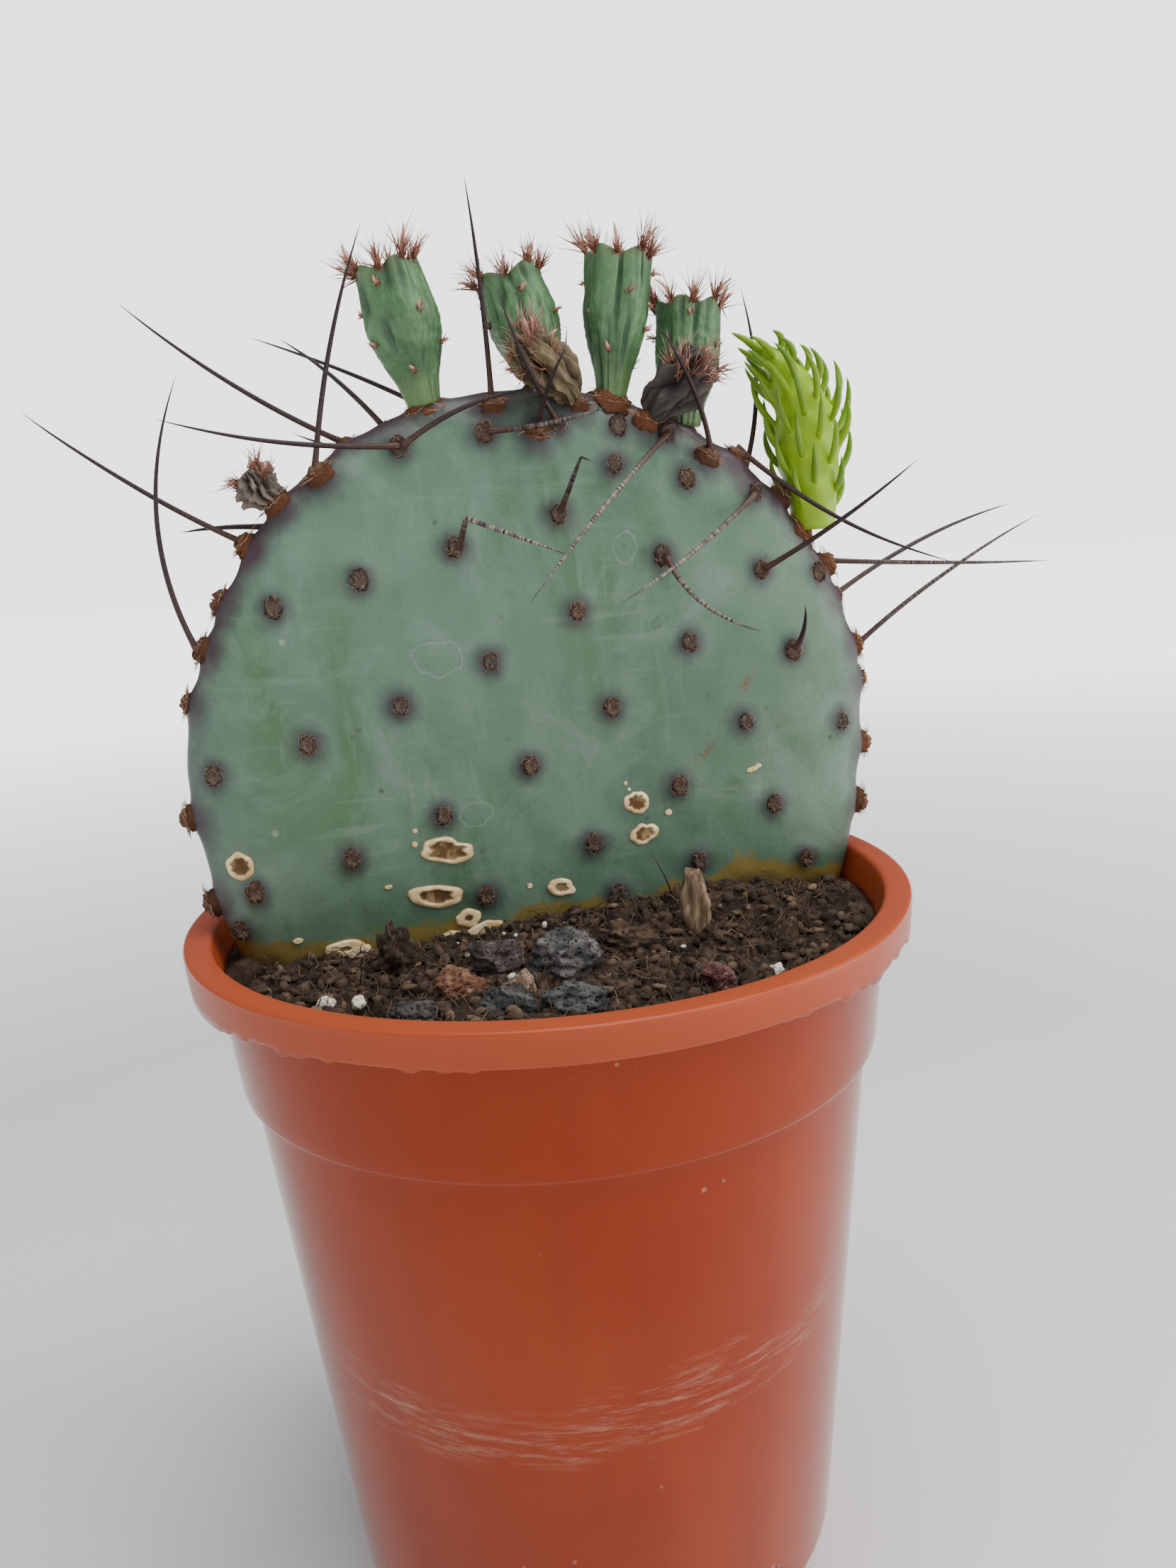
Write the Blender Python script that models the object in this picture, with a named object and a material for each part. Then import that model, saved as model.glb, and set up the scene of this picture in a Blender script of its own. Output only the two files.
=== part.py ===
"""A paddle cactus in a nursery pot: pot, soil with stones, one flat pad, and what grows on it.

Metres, +Z up. The origin is the middle of the pot's underside, and -Y is the front of the plant.
Places on the plant are given in the pad's own frame: u to the right across the pad, v up from the
soil, and w out of its front face.
"""

import math

import bmesh
import bpy
import numpy as np
from mathutils import Matrix, Vector

CLEARANCE = 0.0003  # gap between pieces that touch
OVERLAP = 0.0010  # how far joined shapes and cutters run into each other

# Pot
POT_HEIGHT = 0.155
RIM_RADIUS = 0.070
RIM_WIDTH = 0.0050
RIM_DROP = 0.0062
RIM_DRAFT = 0.0004
RIM_ROUND = 0.0006
RIM_LAP = 0.0005  # how far the wall runs in under the rim
WALL = 0.0015
BAND_DROP = 0.0287  # underside of the rim's upper band, below the rim
BAND_STEP = 0.0018
BAND_ROUND = 0.0004
WALL_TAPER = 0.093  # loss of radius for each metre down
FOOT_HEIGHT = 0.016
FOOT_STEP = 0.0035
FOOT_RING = 0.0050
FOOT_DRAFT = 0.0010
FOOT_ROUND = 0.0008
CHANNEL_DEPTH = 0.0025
CHANNEL_WIDTH = 0.0130
FLOOR = 0.0020
ARCH_COUNT = 6
ARCH_WIDTH = 0.022
ARCH_TOP = 0.031
ARCH_DEPTH = 0.0040
DRAIN_COUNT = 6
DRAIN_RADIUS = 0.0035
POT_STEPS = 48

# Soil
SOIL_DROP = 0.0056
SOIL_BUMP = 0.0005
SOIL_SEGMENTS = 32

# Pad
PAD_YAW = math.radians(10)
PAD_SHIFT = (0.0003, 0.0014)
PAD_RADIUS = 0.0668
PAD_CENTRE = 0.034  # above the soil
PAD_ROOT_STRETCH = 1.33
PAD_MOUTH_GAP = 0.0016  # least gap between the pad's edge and the pot's mouth
PAD_LEAN = 0.012  # how much wider the right side is than the left
PAD_THICKNESS = 0.0140
PAD_EDGE_POWER = 6
PAD_FLAT = 0.030  # how far the left shoulder is flattened, as a share of the radius
PAD_FLAT_ANGLE = math.radians(-63)
PAD_FLAT_SPREAD = math.radians(17)
PAD_SEGMENTS = 36
PAD_RINGS = 12
DRAWN_RADIUS = 0.0668  # the pad that the areoles' places below are drawn on
DRAWN_CENTRE = 0.034
DRAWN_STRETCH = 1.33

# Areoles: the woolly cushions that spines grow from
AREOLE_WIDTH = 0.0036
AREOLE_TOP = 0.0021
AREOLE_HEIGHT = 0.0014
AREOLE_SINK = 0.0010
FRONT_ROWS = [
    # first, middle and last place in the pad's frame, and how many
    ((-0.022, 0.0915), (0.007, 0.0937), (0.028, 0.0915), 5),
    ((0.017, 0.0863), (0.031, 0.083), (0.045, 0.0795), 3),
    ((-0.047, 0.065), (-0.023, 0.071), (0.0055, 0.078), 4),
    ((-0.061, 0.036), (-0.0180, 0.0488), (0.025, 0.069), 6),
    ((-0.0565, 0.0135), (-0.0035, 0.032), (0.045, 0.065), 7),
    ((-0.014, 0.0075), (0.0335, 0.030), (0.058, 0.0635), 6),
    ((0.012, 0.0045), (0.0375, 0.0130), (0.0615, 0.0335), 4),
    ((-0.060, 0.006), (-0.060, 0.006), (-0.060, 0.006), 1),
    ((0.0525, 0.0060), (0.0525, 0.0060), (0.0525, 0.0060), 1),
]
EDGE_AREOLES = {
    # clock angle on the pad's edge: offset out of the pad's plane
    -105: 0.0,
    -94: 0.0,
    -77: 0.0,
    -68: 0.0010,
    -60: -0.0010,
    -50: 0.0,
    -46: -0.0030,
    -42: 0.0015,
    -34: 0.0030,
    -28: -0.0020,
    -21: -0.0030,
    -14: 0.0,
    -9: -0.0045,
    -4: 0.0035,
    3: 0.0052,
    5: -0.0010,
    10: 0.0035,
    16: 0.0,
    22: 0.0035,
    29: -0.0010,
    34: 0.0040,
    39: 0.0010,
    43: -0.0030,
    49: 0.0010,
    56: 0.0,
    63: 0.0010,
    69: -0.0015,
    78: 0.0005,
    84: 0.0,
    94: 0.0,
    102: 0.0,
}

BACK_SPREAD = 0.94  # the back's areoles mirror the front's, drawn in to this share

# Spines
SPINE_RADIUS = 0.00060
SPINE_TIP = 0.20  # of the base radius
SPINE_SPREAD = 0.0009  # how far from the areole's middle a spine leaves it
SPINE_POINTS = 6
FACE_SPINES = [
    # row, place in the row, length, clock angle, tilt forward, bow
    (0, 0, 0.040, -82, 12, -0.0014),
    (0, 0, 0.026, 71, 4, -0.0018),
    (0, 1, 0.023, 82, 14, 0.0008),
    (0, 2, 0.026, -30, 32, -0.0008),
    (0, 4, 0.047, -131, 26, 0.0006),
    (1, 2, 0.041, -118, 27, -0.0010),
    (2, 2, 0.023, 98, 45, -0.0036),
    (2, 3, 0.014, 25, 52, -0.0010),
    (3, 5, 0.024, 139, 42, 0.0025),
    (4, 6, 0.034, 50, 37, 0.0008),
    (5, 4, 0.010, -2, 32, 0.0008),
]
EDGE_SPINES = [
    # clock angle of its areole, length, clock angle, tilt, bow
    (-34, 0.041, 17, 9, -0.0012),
    (-28, 0.043, -55, 3, -0.0016),
    (-50, 0.040, -54, 10, -0.0012),
    (-68, 0.047, 5, 13, -0.0050),
    (-21, 0.026, -44, -20, 0.0010),
    (-9, 0.0425, -63, -16, 0.0010),
    (-4, 0.037, -3, 3, 0.0005),
    (-46, 0.015, -90, -4, 0.0004),
    (3, 0.017, 16, 45, -0.0006),
    (34, 0.028, -33, 29, 0.0016),
    (39, 0.047, 123, 18, 0.0026),
    (43, 0.038, 6, -12, 0.0030),
    (63, 0.046, 94, 8, 0.0004),
    (69, 0.049, 71, -10, -0.0020),
    (78, 0.046, 60, 2, -0.0015),
]
BACK_SPINES = [
    # row, place in the row, length, clock angle, tilt back, bow
    (0, 1, 0.038, 24, 38, 0.0012),
    (0, 3, 0.032, -70, 40, -0.0010),
    (2, 1, 0.028, -35, 46, 0.0012),
    (2, 3, 0.040, 62, 34, 0.0010),
    (3, 1, 0.024, 110, 44, 0.0010),
]

# Fruits: clock angle on the edge, length, widest radius, lean in the pad's plane, lean forward
FRUITS = [
    (-14, 0.0225, 0.0066, -12, 3),
    (5, 0.0190, 0.0064, -14, -5),
    (16, 0.0235, 0.0060, 6, 4),
    (29, 0.0205, 0.0062, 5, -3),
]
FRUIT_BASE = 0.60  # of the widest radius
FRUIT_CROWN_DIP = 0.0022
FRUIT_RIBS = 5
FRUIT_RIB_DEPTH = 0.05
FRUIT_SEGMENTS = 15
FRUIT_STEPS = 6

# Withered fruits: clock angle of its areole, length, radius, lean in the plane, lean forward
DRIED_FRUITS = [
    (10, 0.0160, 0.0034, -54, 19),
    (22, 0.0140, 0.0036, 50, 20),
    (-42, 0.0060, 0.0030, -46, 8),
]
WITHERED_FOOT = 0.45  # of the radius
DRIED_NAMES = ("withered_fruit_left", "withered_fruit_right", "withered_bud")

# New shoot
SHOOT_ANGLE = 56
SHOOT_LENGTH = 0.034
SHOOT_RADIUS = 0.0048
SHOOT_LEAN = -3
SHOOT_HOOK = -0.0060
SHOOT_LEAVES = 24
SHOOT_LEAF = 0.0095
GOLDEN_TURN = math.radians(137.5)

# Stones and litter on the soil: x, y, three half sizes, turn, how much stands out of the soil
DRAWN_MOUTH = 0.065  # radius of the mouth that they are drawn for
STONES = {
    "stone_grey": (0.001, -0.031, 0.0062, 0.0050, 0.0048, 10, 0.60),
    "stone_purple": (-0.011, -0.0265, 0.0048, 0.0036, 0.0036, -15, 0.55),
    "stone_rust": (-0.0165, -0.038, 0.0042, 0.0036, 0.0032, 5, 0.45),
    "stone_tan": (-0.0065, -0.0375, 0.0026, 0.0024, 0.0024, 30, 0.45),
    "stone_dark_middle": (-0.0080, -0.0455, 0.0044, 0.0038, 0.0030, 20, 0.30),
    "stone_dark_right": (0.0030, -0.0465, 0.0050, 0.0042, 0.0034, -20, 0.35),
    "stone_dark_left": (-0.0235, -0.0460, 0.0040, 0.0032, 0.0026, 40, 0.25),
    "stone_red": (0.0265, -0.0440, 0.0032, 0.0026, 0.0026, 60, 0.45),
    "stone_back": (-0.0180, 0.0330, 0.0045, 0.0038, 0.0034, 25, 0.40),
}
BARK = (0.0130, -0.0225, 0.0058, 0.0034, 0.0040, 25, 0.45)
PEAT_CLUMP = (-0.0290, -0.0260, 0.0032, 0.0030, 0.0046, 0, 0.80)
PERLITE = {
    "perlite_left": (-0.0390, -0.0385, 0.0018, 0.0015, 0.0014, 20, 0.50),
    "perlite_middle": (-0.0335, -0.0390, 0.0016, 0.0014, 0.0014, 70, 0.50),
    "perlite_right": (0.0370, -0.0400, 0.0014, 0.0013, 0.0012, 10, 0.50),
}
LEAF_PLACE = (0.0270, -0.0190)
LEAF_LENGTH = 0.0120
LEAF_WIDTH = 0.0052
LEAF_THICKNESS = 0.0009
LEAF_CURL = math.radians(70)
LEAF_BURIED = 0.0030

TERRACOTTA = (0.47, 0.115, 0.045)
PEAT = (0.045, 0.026, 0.017)
PAD_GREEN = (0.115, 0.235, 0.155)
FRUIT_GREEN = (0.080, 0.255, 0.105)
SHOOT_GREEN = (0.30, 0.58, 0.045)
SPINE_BROWN = (0.060, 0.025, 0.025)
WITHERED = (0.20, 0.145, 0.095)
STONE_COLOURS = {
    "stone_grey": (0.085, 0.080, 0.090),
    "stone_purple": (0.100, 0.070, 0.075),
    "stone_rust": (0.190, 0.090, 0.060),
    "stone_tan": (0.260, 0.170, 0.110),
    "stone_dark_middle": (0.060, 0.060, 0.065),
    "stone_dark_right": (0.060, 0.065, 0.070),
    "stone_dark_left": (0.050, 0.048, 0.045),
    "stone_red": (0.150, 0.060, 0.055),
    "stone_back": (0.110, 0.075, 0.070),
}
BARK_BROWN = (0.070, 0.042, 0.028)
PERLITE_WHITE = (0.80, 0.78, 0.72)
LEAF_TAN = (0.27, 0.19, 0.11)

SOIL_LEVEL = POT_HEIGHT - SOIL_DROP
PAD_TO_WORLD = Matrix.Translation((PAD_SHIFT[0], PAD_SHIFT[1], SOIL_LEVEL)) @ Matrix(
    (
        (math.cos(PAD_YAW), 0, math.sin(PAD_YAW), 0),
        (math.sin(PAD_YAW), 0, -math.cos(PAD_YAW), 0),
        (0, 1, 0, 0),
        (0, 0, 0, 1),
    )
)


# ---------------------------------------------------------------------------------------------
# Objects and materials
# ---------------------------------------------------------------------------------------------


def clear_scene():
    for obj in list(bpy.data.objects):
        bpy.data.objects.remove(obj, do_unlink=True)


def finish_of(name, colour, roughness, metallic=0.0):
    """A plain material of one colour."""
    material = bpy.data.materials.get(name) or bpy.data.materials.new(name)
    material.use_nodes = True
    shader = material.node_tree.nodes["Principled BSDF"]
    shader.inputs["Base Color"].default_value = (*colour, 1.0)
    shader.inputs["Roughness"].default_value = roughness
    shader.inputs["Metallic"].default_value = metallic
    return material


def piece(name, mesh_or_bmesh, material):
    """Puts a mesh into the scene as a named piece, shaded smooth."""
    mesh = mesh_or_bmesh
    if isinstance(mesh_or_bmesh, bmesh.types.BMesh):
        mesh = bpy.data.meshes.new(name)
        bmesh.ops.recalc_face_normals(mesh_or_bmesh, faces=mesh_or_bmesh.faces)
        mesh_or_bmesh.to_mesh(mesh)
        mesh_or_bmesh.free()
    mesh.shade_smooth()
    mesh.set_sharp_from_angle(angle=math.radians(40))
    obj = bpy.data.objects.new(name, mesh)
    bpy.context.scene.collection.objects.link(obj)
    obj.data.materials.append(material)
    return obj


def helper(obj):
    """Marks an object that only shapes others."""
    obj.hide_render = True
    obj.display_type = "WIRE"
    return obj


def boolean(obj, tool, operation, crossing=False):
    modifier = obj.modifiers.new(tool.name, "BOOLEAN")
    modifier.operation = operation
    modifier.solver = "EXACT"
    modifier.use_self = crossing
    modifier.object = tool


def rings_to_bmesh(rings):
    """Bridges a run of closed rings of points, each as many as the last, and caps both ends.
    A ring of one point is a pole."""
    bm = bmesh.new()
    loops = [[bm.verts.new(point) for point in ring] for ring in rings]
    for lower, upper in zip(loops, loops[1:]):
        count = max(len(lower), len(upper))
        for i in range(count):
            j = (i + 1) % count
            corners = [lower[i % len(lower)], lower[j % len(lower)]]
            corners += [upper[j % len(upper)], upper[i % len(upper)]]
            bm.faces.new(dict.fromkeys(corners))
    for loop in (loops[0], loops[-1]):
        if len(loop) > 2:
            bm.faces.new(loop)
    return bm


def circle(radius, z, count, squash=1.0):
    turns = [2 * math.pi * i / count for i in range(count)]
    return [Vector((radius * math.cos(t), squash * radius * math.sin(t), z)) for t in turns]


# ---------------------------------------------------------------------------------------------
# Pot
# ---------------------------------------------------------------------------------------------


def outer_radius(z):
    """Radius of the outside of the wall, below the band and above the foot."""
    top = RIM_RADIUS - RIM_WIDTH - WALL_TAPER * BAND_DROP - BAND_STEP
    return top + RIM_LAP - WALL_TAPER * (POT_HEIGHT - BAND_DROP - z)


def band_radius(z):
    return RIM_RADIUS - RIM_WIDTH + RIM_LAP - WALL_TAPER * (POT_HEIGHT - z)


def pot_inside():
    """Half profile of the hollow, from the middle of the floor up to the rim: radius and height."""
    foot = outer_radius(FOOT_HEIGHT) - FOOT_STEP
    channel_out = foot - FOOT_RING
    channel_in = channel_out - CHANNEL_WIDTH
    thick_top = ARCH_TOP + 2 * WALL
    lower = outer_radius(ARCH_TOP) - ARCH_DEPTH - WALL
    step_z = POT_HEIGHT - BAND_DROP
    return [
        (0.0, FLOOR),
        (channel_in - FLOOR, FLOOR),
        (channel_in, FLOOR + CHANNEL_DEPTH),
        (foot - WALL - FOOT_RING / 2, FLOOR + CHANNEL_DEPTH),
        (foot - WALL, FOOT_HEIGHT / 2),
        (lower, thick_top),
        (outer_radius(thick_top + ARCH_DEPTH) - WALL, thick_top + ARCH_DEPTH),
        (outer_radius(step_z) - WALL, step_z),
        (band_radius(step_z + 2 * WALL) - WALL, step_z + 2 * WALL),
        (band_radius(POT_HEIGHT - RIM_DROP) - WALL, POT_HEIGHT - RIM_DROP),
        (RIM_RADIUS - RIM_WIDTH, POT_HEIGHT),
    ]


def pot_outside():
    """Half profile of the outside, from the rim down to the middle of the underside."""
    step_z = POT_HEIGHT - BAND_DROP
    rim_under = POT_HEIGHT - WALL
    foot = outer_radius(FOOT_HEIGHT) - FOOT_STEP
    channel_out = foot - FOOT_RING
    channel_in = channel_out - CHANNEL_WIDTH
    lip = RIM_RADIUS - RIM_DRAFT
    return [
        (RIM_RADIUS - RIM_ROUND, POT_HEIGHT),
        (RIM_RADIUS, POT_HEIGHT - RIM_ROUND),
        (lip, POT_HEIGHT - RIM_DROP),
        (lip - WALL, POT_HEIGHT - RIM_DROP),
        (lip - WALL, rim_under),
        (band_radius(rim_under), rim_under),
        (band_radius(step_z), step_z + BAND_ROUND),
        (band_radius(step_z) - BAND_ROUND, step_z),
        (outer_radius(step_z), step_z),
        (outer_radius(FOOT_HEIGHT + FOOT_STEP), FOOT_HEIGHT + FOOT_STEP),
        (foot, FOOT_HEIGHT),
        (foot - FOOT_DRAFT, FOOT_ROUND),
        (foot - FOOT_DRAFT - FOOT_ROUND, 0.0),
        (channel_out, 0.0),
        (channel_out, CHANNEL_DEPTH),
        (channel_in, CHANNEL_DEPTH),
        (channel_in, 0.0),
        (0.0, 0.0),
    ]


def turned(name, profile, material):
    """A profile turned once about the Z axis."""
    mesh = bpy.data.meshes.new(name)
    points = [(radius, 0.0, z) for radius, z in profile]
    mesh.from_pydata(points, [(i, i + 1) for i in range(len(points) - 1)], [])
    obj = bpy.data.objects.new(name, mesh)
    bpy.context.scene.collection.objects.link(obj)
    screw = obj.modifiers.new("turn", "SCREW")
    screw.steps = POT_STEPS
    screw.render_steps = POT_STEPS
    screw.use_merge_vertices = True
    screw.merge_threshold = 0.00001
    screw.use_normal_calculate = True
    screw.use_smooth_shade = True
    obj.data.materials.append(material)
    return obj


def drain_cutters(material):
    foot = outer_radius(FOOT_HEIGHT) - FOOT_STEP
    middle = foot - FOOT_RING - CHANNEL_WIDTH / 2
    bm = bmesh.new()
    for i in range(DRAIN_COUNT):
        turn = 2 * math.pi * (i + 0.5) / DRAIN_COUNT
        place = Matrix.Translation((middle * math.cos(turn), middle * math.sin(turn), CHANNEL_DEPTH))
        bmesh.ops.create_cone(
            bm,
            cap_ends=True,
            segments=10,
            radius1=DRAIN_RADIUS,
            radius2=DRAIN_RADIUS,
            depth=2 * (FLOOR + OVERLAP),
            matrix=place,
        )
    return helper(piece("drain_cutters", bm, material))


def arch_cutters(material):
    """Prisms with a round top that press the arched recesses into the lower wall."""
    bm = bmesh.new()
    half = ARCH_WIDTH / 2
    spring = ARCH_TOP - half * 0.6
    outline = [(-half, FOOT_HEIGHT - OVERLAP), (half, FOOT_HEIGHT - OVERLAP)]
    for i in range(7):
        turn = math.pi * i / 6
        outline.append((half * math.cos(turn), spring + (ARCH_TOP - spring) * math.sin(turn)))
    for i in range(ARCH_COUNT):
        turn = Matrix.Rotation(2 * math.pi * i / ARCH_COUNT, 4, "Z")
        loops = []
        for low, high in ((outer_radius(FOOT_HEIGHT) - FOOT_STEP, outer_radius(ARCH_TOP) - ARCH_DEPTH),
                          (RIM_RADIUS, RIM_RADIUS)):
            ring = []
            for y, z in outline:
                share = (z - FOOT_HEIGHT) / (ARCH_TOP - FOOT_HEIGHT)
                ring.append(bm.verts.new(turn @ Vector((low + (high - low) * share, y, z))))
            loops.append(ring)
        inner, outer = loops
        bm.faces.new(inner)
        bm.faces.new(outer)
        for a in range(len(outline)):
            b = (a + 1) % len(outline)
            bm.faces.new((inner[a], inner[b], outer[b], outer[a]))
    return helper(piece("arch_cutters", bm, material))


def make_pot():
    plastic = finish_of("terracotta_plastic", TERRACOTTA, 0.35)
    pot = turned("pot", pot_inside() + pot_outside(), plastic)
    boolean(pot, arch_cutters(plastic), "DIFFERENCE")
    boolean(pot, drain_cutters(plastic), "DIFFERENCE")
    return pot


# ---------------------------------------------------------------------------------------------
# Pad and areoles
# ---------------------------------------------------------------------------------------------


def pad_point(u, v, w):
    return PAD_TO_WORLD @ Vector((u, v, w))


def root_stretch():
    """How far down the root is stretched: as chosen, or less in a pad too wide for the mouth."""
    mouth = RIM_RADIUS - RIM_WIDTH - PAD_MOUTH_GAP
    excess = PAD_RADIUS**2 - mouth**2
    if excess <= 0:
        return PAD_ROOT_STRETCH
    return min(PAD_ROOT_STRETCH, (PAD_CENTRE - SOIL_DROP) / math.sqrt(excess))


def outline_radius(clock):
    """The outline's distance from the pad's centre, before its root is stretched."""
    flat = PAD_FLAT * math.exp(-(((clock - PAD_FLAT_ANGLE) / PAD_FLAT_SPREAD) ** 2))
    return PAD_RADIUS * (1 + PAD_LEAN * math.sin(clock) - flat)


def edge_place(clock, w=0.0):
    """The pad's outline, as u and v, at a clock angle: 0 is up and 90 is right."""
    radius = outline_radius(clock)
    up = math.cos(clock)
    stretch = 1.0 if up > 0 else root_stretch()
    share = (1 - min(1.0, (2 * abs(w) / PAD_THICKNESS)) ** 2) ** (1 / PAD_EDGE_POWER)
    return radius * share * math.sin(clock), PAD_CENTRE + radius * share * up * stretch


def half_thickness(u, v):
    """Half the pad's thickness: nearly even over the face and round at the edge."""
    up = v - PAD_CENTRE
    flat = up if up > 0 else up / root_stretch()
    share = min(1.0, math.hypot(u, flat) / outline_radius(math.atan2(u, flat)))
    return PAD_THICKNESS / 2 * math.sqrt(1 - share**PAD_EDGE_POWER)


def pad_solid(grow=0.0):
    """A ball whose rings are moved onto the pad's faces, grown all over by the given amount."""
    bm = bmesh.new()
    bmesh.ops.create_uvsphere(bm, u_segments=PAD_SEGMENTS, v_segments=PAD_RINGS, radius=1)
    for vert in bm.verts:
        clock = math.atan2(vert.co.x, vert.co.y)
        polar = math.acos(max(-1.0, min(1.0, vert.co.z)))
        share = math.sin(polar) ** 0.5
        depth = math.copysign(PAD_THICKNESS / 2 * math.sqrt(1 - share**PAD_EDGE_POWER), vert.co.z)
        u, v = edge_place(clock)
        centre = Vector((0.0, PAD_CENTRE))
        out = (Vector((u, v)) - centre) * share
        out += out.normalized() * grow * share if share > 0.01 else Vector((0.0, 0.0))
        lift = math.copysign(grow, depth) * (1 - share**PAD_EDGE_POWER) ** 0.5
        vert.co = pad_point(centre.x + out.x, centre.y + out.y, depth + lift)
    return bm


def drawn_place(place):
    """The place on this pad at the same clock angle and share of the outline as one drawn."""
    size = PAD_RADIUS / DRAWN_RADIUS
    up = place.y - DRAWN_CENTRE
    stretch = 1.0 if up > 0 else root_stretch() / DRAWN_STRETCH
    return Vector((place.x * size, PAD_CENTRE + up * size * stretch))


def row_places(row):
    """Places spread evenly in parameter along a parabola through three points."""
    first, middle, last, count = row
    first, middle, last = Vector(first), Vector(middle), Vector(last)
    handle = 2 * middle - (first + last) / 2
    places = []
    for i in range(count):
        t = i / max(1, count - 1)
        places.append(drawn_place((1 - t) ** 2 * first + 2 * t * (1 - t) * handle + t * t * last))
    return places


def back_place(place):
    """The place on the back face that mirrors one on the front."""
    u = -place.x * BACK_SPREAD
    v = PAD_CENTRE + (place.y - PAD_CENTRE) * BACK_SPREAD
    return Vector((u, v, -half_thickness(u, v)))


def edge_seat(clock, offset):
    """A place on the rounded edge, off the pad's plane by the offset, and the way it faces."""
    turn = math.radians(clock)
    u, v = edge_place(turn, offset)
    steep = min(1.0, abs(2 * offset / PAD_THICKNESS)) ** 2
    out = Vector((math.sin(turn) * (1 - steep), math.cos(turn) * (1 - steep), math.copysign(steep, offset)))
    return Vector((u, v, offset)), out.normalized()


def areole_frames():
    """Every areole's place on the skin and the direction it faces, in the pad's frame."""
    frames = []
    for row in FRONT_ROWS:
        for place in row_places(row):
            depth = half_thickness(place.x, place.y)
            frames.append((Vector((place.x, place.y, depth)), Vector((0, 0, 1))))
            frames.append((back_place(place), Vector((0, 0, -1))))
    frames += [edge_seat(clock, offset) for clock, offset in EDGE_AREOLES.items()]
    return frames


def areole_cushions(material):
    """Low domes with five sides, one at each areole."""
    bm = bmesh.new()
    for place, facing in areole_frames():
        turn = facing.to_track_quat("Z", "Y").to_matrix().to_4x4()
        middle = place + facing * (AREOLE_HEIGHT - AREOLE_SINK) / 2
        bmesh.ops.create_cone(
            bm,
            cap_ends=True,
            segments=5,
            radius1=AREOLE_WIDTH / 2,
            radius2=AREOLE_TOP / 2,
            depth=AREOLE_HEIGHT + AREOLE_SINK,
            matrix=PAD_TO_WORLD @ Matrix.Translation(middle) @ turn,
        )
    return helper(piece("areole_cushions", bm, material))


def make_pad():
    skin = finish_of("pad_skin", PAD_GREEN, 0.55)
    pad = piece("pad", pad_solid(), skin)
    boolean(pad, areole_cushions(skin), "UNION", crossing=True)
    return pad


# ---------------------------------------------------------------------------------------------
# Spines
# ---------------------------------------------------------------------------------------------


def heading(clock, tilt):
    """A direction in the pad's frame: a clock angle across the face, tilted out of it."""
    clock, tilt = math.radians(clock), math.radians(tilt)
    return Vector((math.cos(tilt) * math.sin(clock), math.cos(tilt) * math.cos(clock), math.sin(tilt)))


def spine(name, seat, facing, direction, length, bow, material):
    """A tapered, bowed tube that leaves the top of an areole. Its bow is largest at mid length."""
    slant = direction.cross(facing).length
    root = seat + facing * (AREOLE_HEIGHT + CLEARANCE + SPINE_RADIUS * slant)
    curve = bpy.data.curves.new(name, "CURVE")
    curve.dimensions = "3D"
    curve.bevel_depth = SPINE_RADIUS
    curve.bevel_resolution = 0
    curve.use_fill_caps = True
    line = curve.splines.new("POLY")
    line.points.add(SPINE_POINTS - 1)
    side = direction.cross(Vector((0, 0, 1))).normalized()
    for i, point in enumerate(line.points):
        t = i / (SPINE_POINTS - 1)
        place = root + direction * length * t + side * 4 * bow * t * (1 - t)
        point.co = (*(PAD_TO_WORLD @ place), 1.0)
        point.radius = 1 + (SPINE_TIP - 1) * t**1.3
    obj = bpy.data.objects.new(name, curve)
    bpy.context.scene.collection.objects.link(obj)
    curve.materials.append(material)
    return obj


def make_spines():
    horn = finish_of("spine_horn", SPINE_BROWN, 0.45)
    front, back = Vector((0, 0, 1)), Vector((0, 0, -1))
    for number, (row, index, length, clock, tilt, bow) in enumerate(FACE_SPINES, 1):
        place = row_places(FRONT_ROWS[row])[index]
        way = heading(clock, tilt)
        seat = Vector((place.x, place.y, half_thickness(place.x, place.y)))
        seat += Vector((way.x, way.y, 0)) * SPINE_SPREAD
        spine(f"face_spine_{number:02}", seat, front, way, length, bow, horn)
    for number, (edge, length, clock, tilt, bow) in enumerate(EDGE_SPINES, 1):
        seat, facing = edge_seat(edge, EDGE_AREOLES[edge])
        spine(f"edge_spine_{number:02}", seat, facing, heading(clock, tilt), length, bow, horn)
    for number, (row, index, length, clock, tilt, bow) in enumerate(BACK_SPINES, 1):
        seat = back_place(row_places(FRONT_ROWS[row])[index])
        spine(f"back_spine_{number:02}", seat, back, heading(clock, -tilt), length, bow, horn)


# ---------------------------------------------------------------------------------------------
# Fruits, withered fruits and the new shoot
# ---------------------------------------------------------------------------------------------


def growth_matrix(clock, offset, lean, forward, gap):
    """Stands something on the pad's edge: its own Z leaves the edge, leaning as told."""
    place, out = edge_seat(clock, offset)
    axis = heading(lean, forward)
    side = axis.cross(Vector((0, 0, 1))).normalized()
    front = axis.cross(side)
    rotation = Matrix((side, front, axis)).transposed().to_4x4()
    return PAD_TO_WORLD @ Matrix.Translation(place + out * gap) @ rotation


def seat_gap(slant, foot):
    """How far the middle of a slanting foot stands off the skin, to clear it and its areole."""
    fall = math.sin(math.radians(abs(slant)))
    return 2 * CLEARANCE + max(AREOLE_HEIGHT + AREOLE_TOP / 2 * fall, foot * fall)


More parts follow.
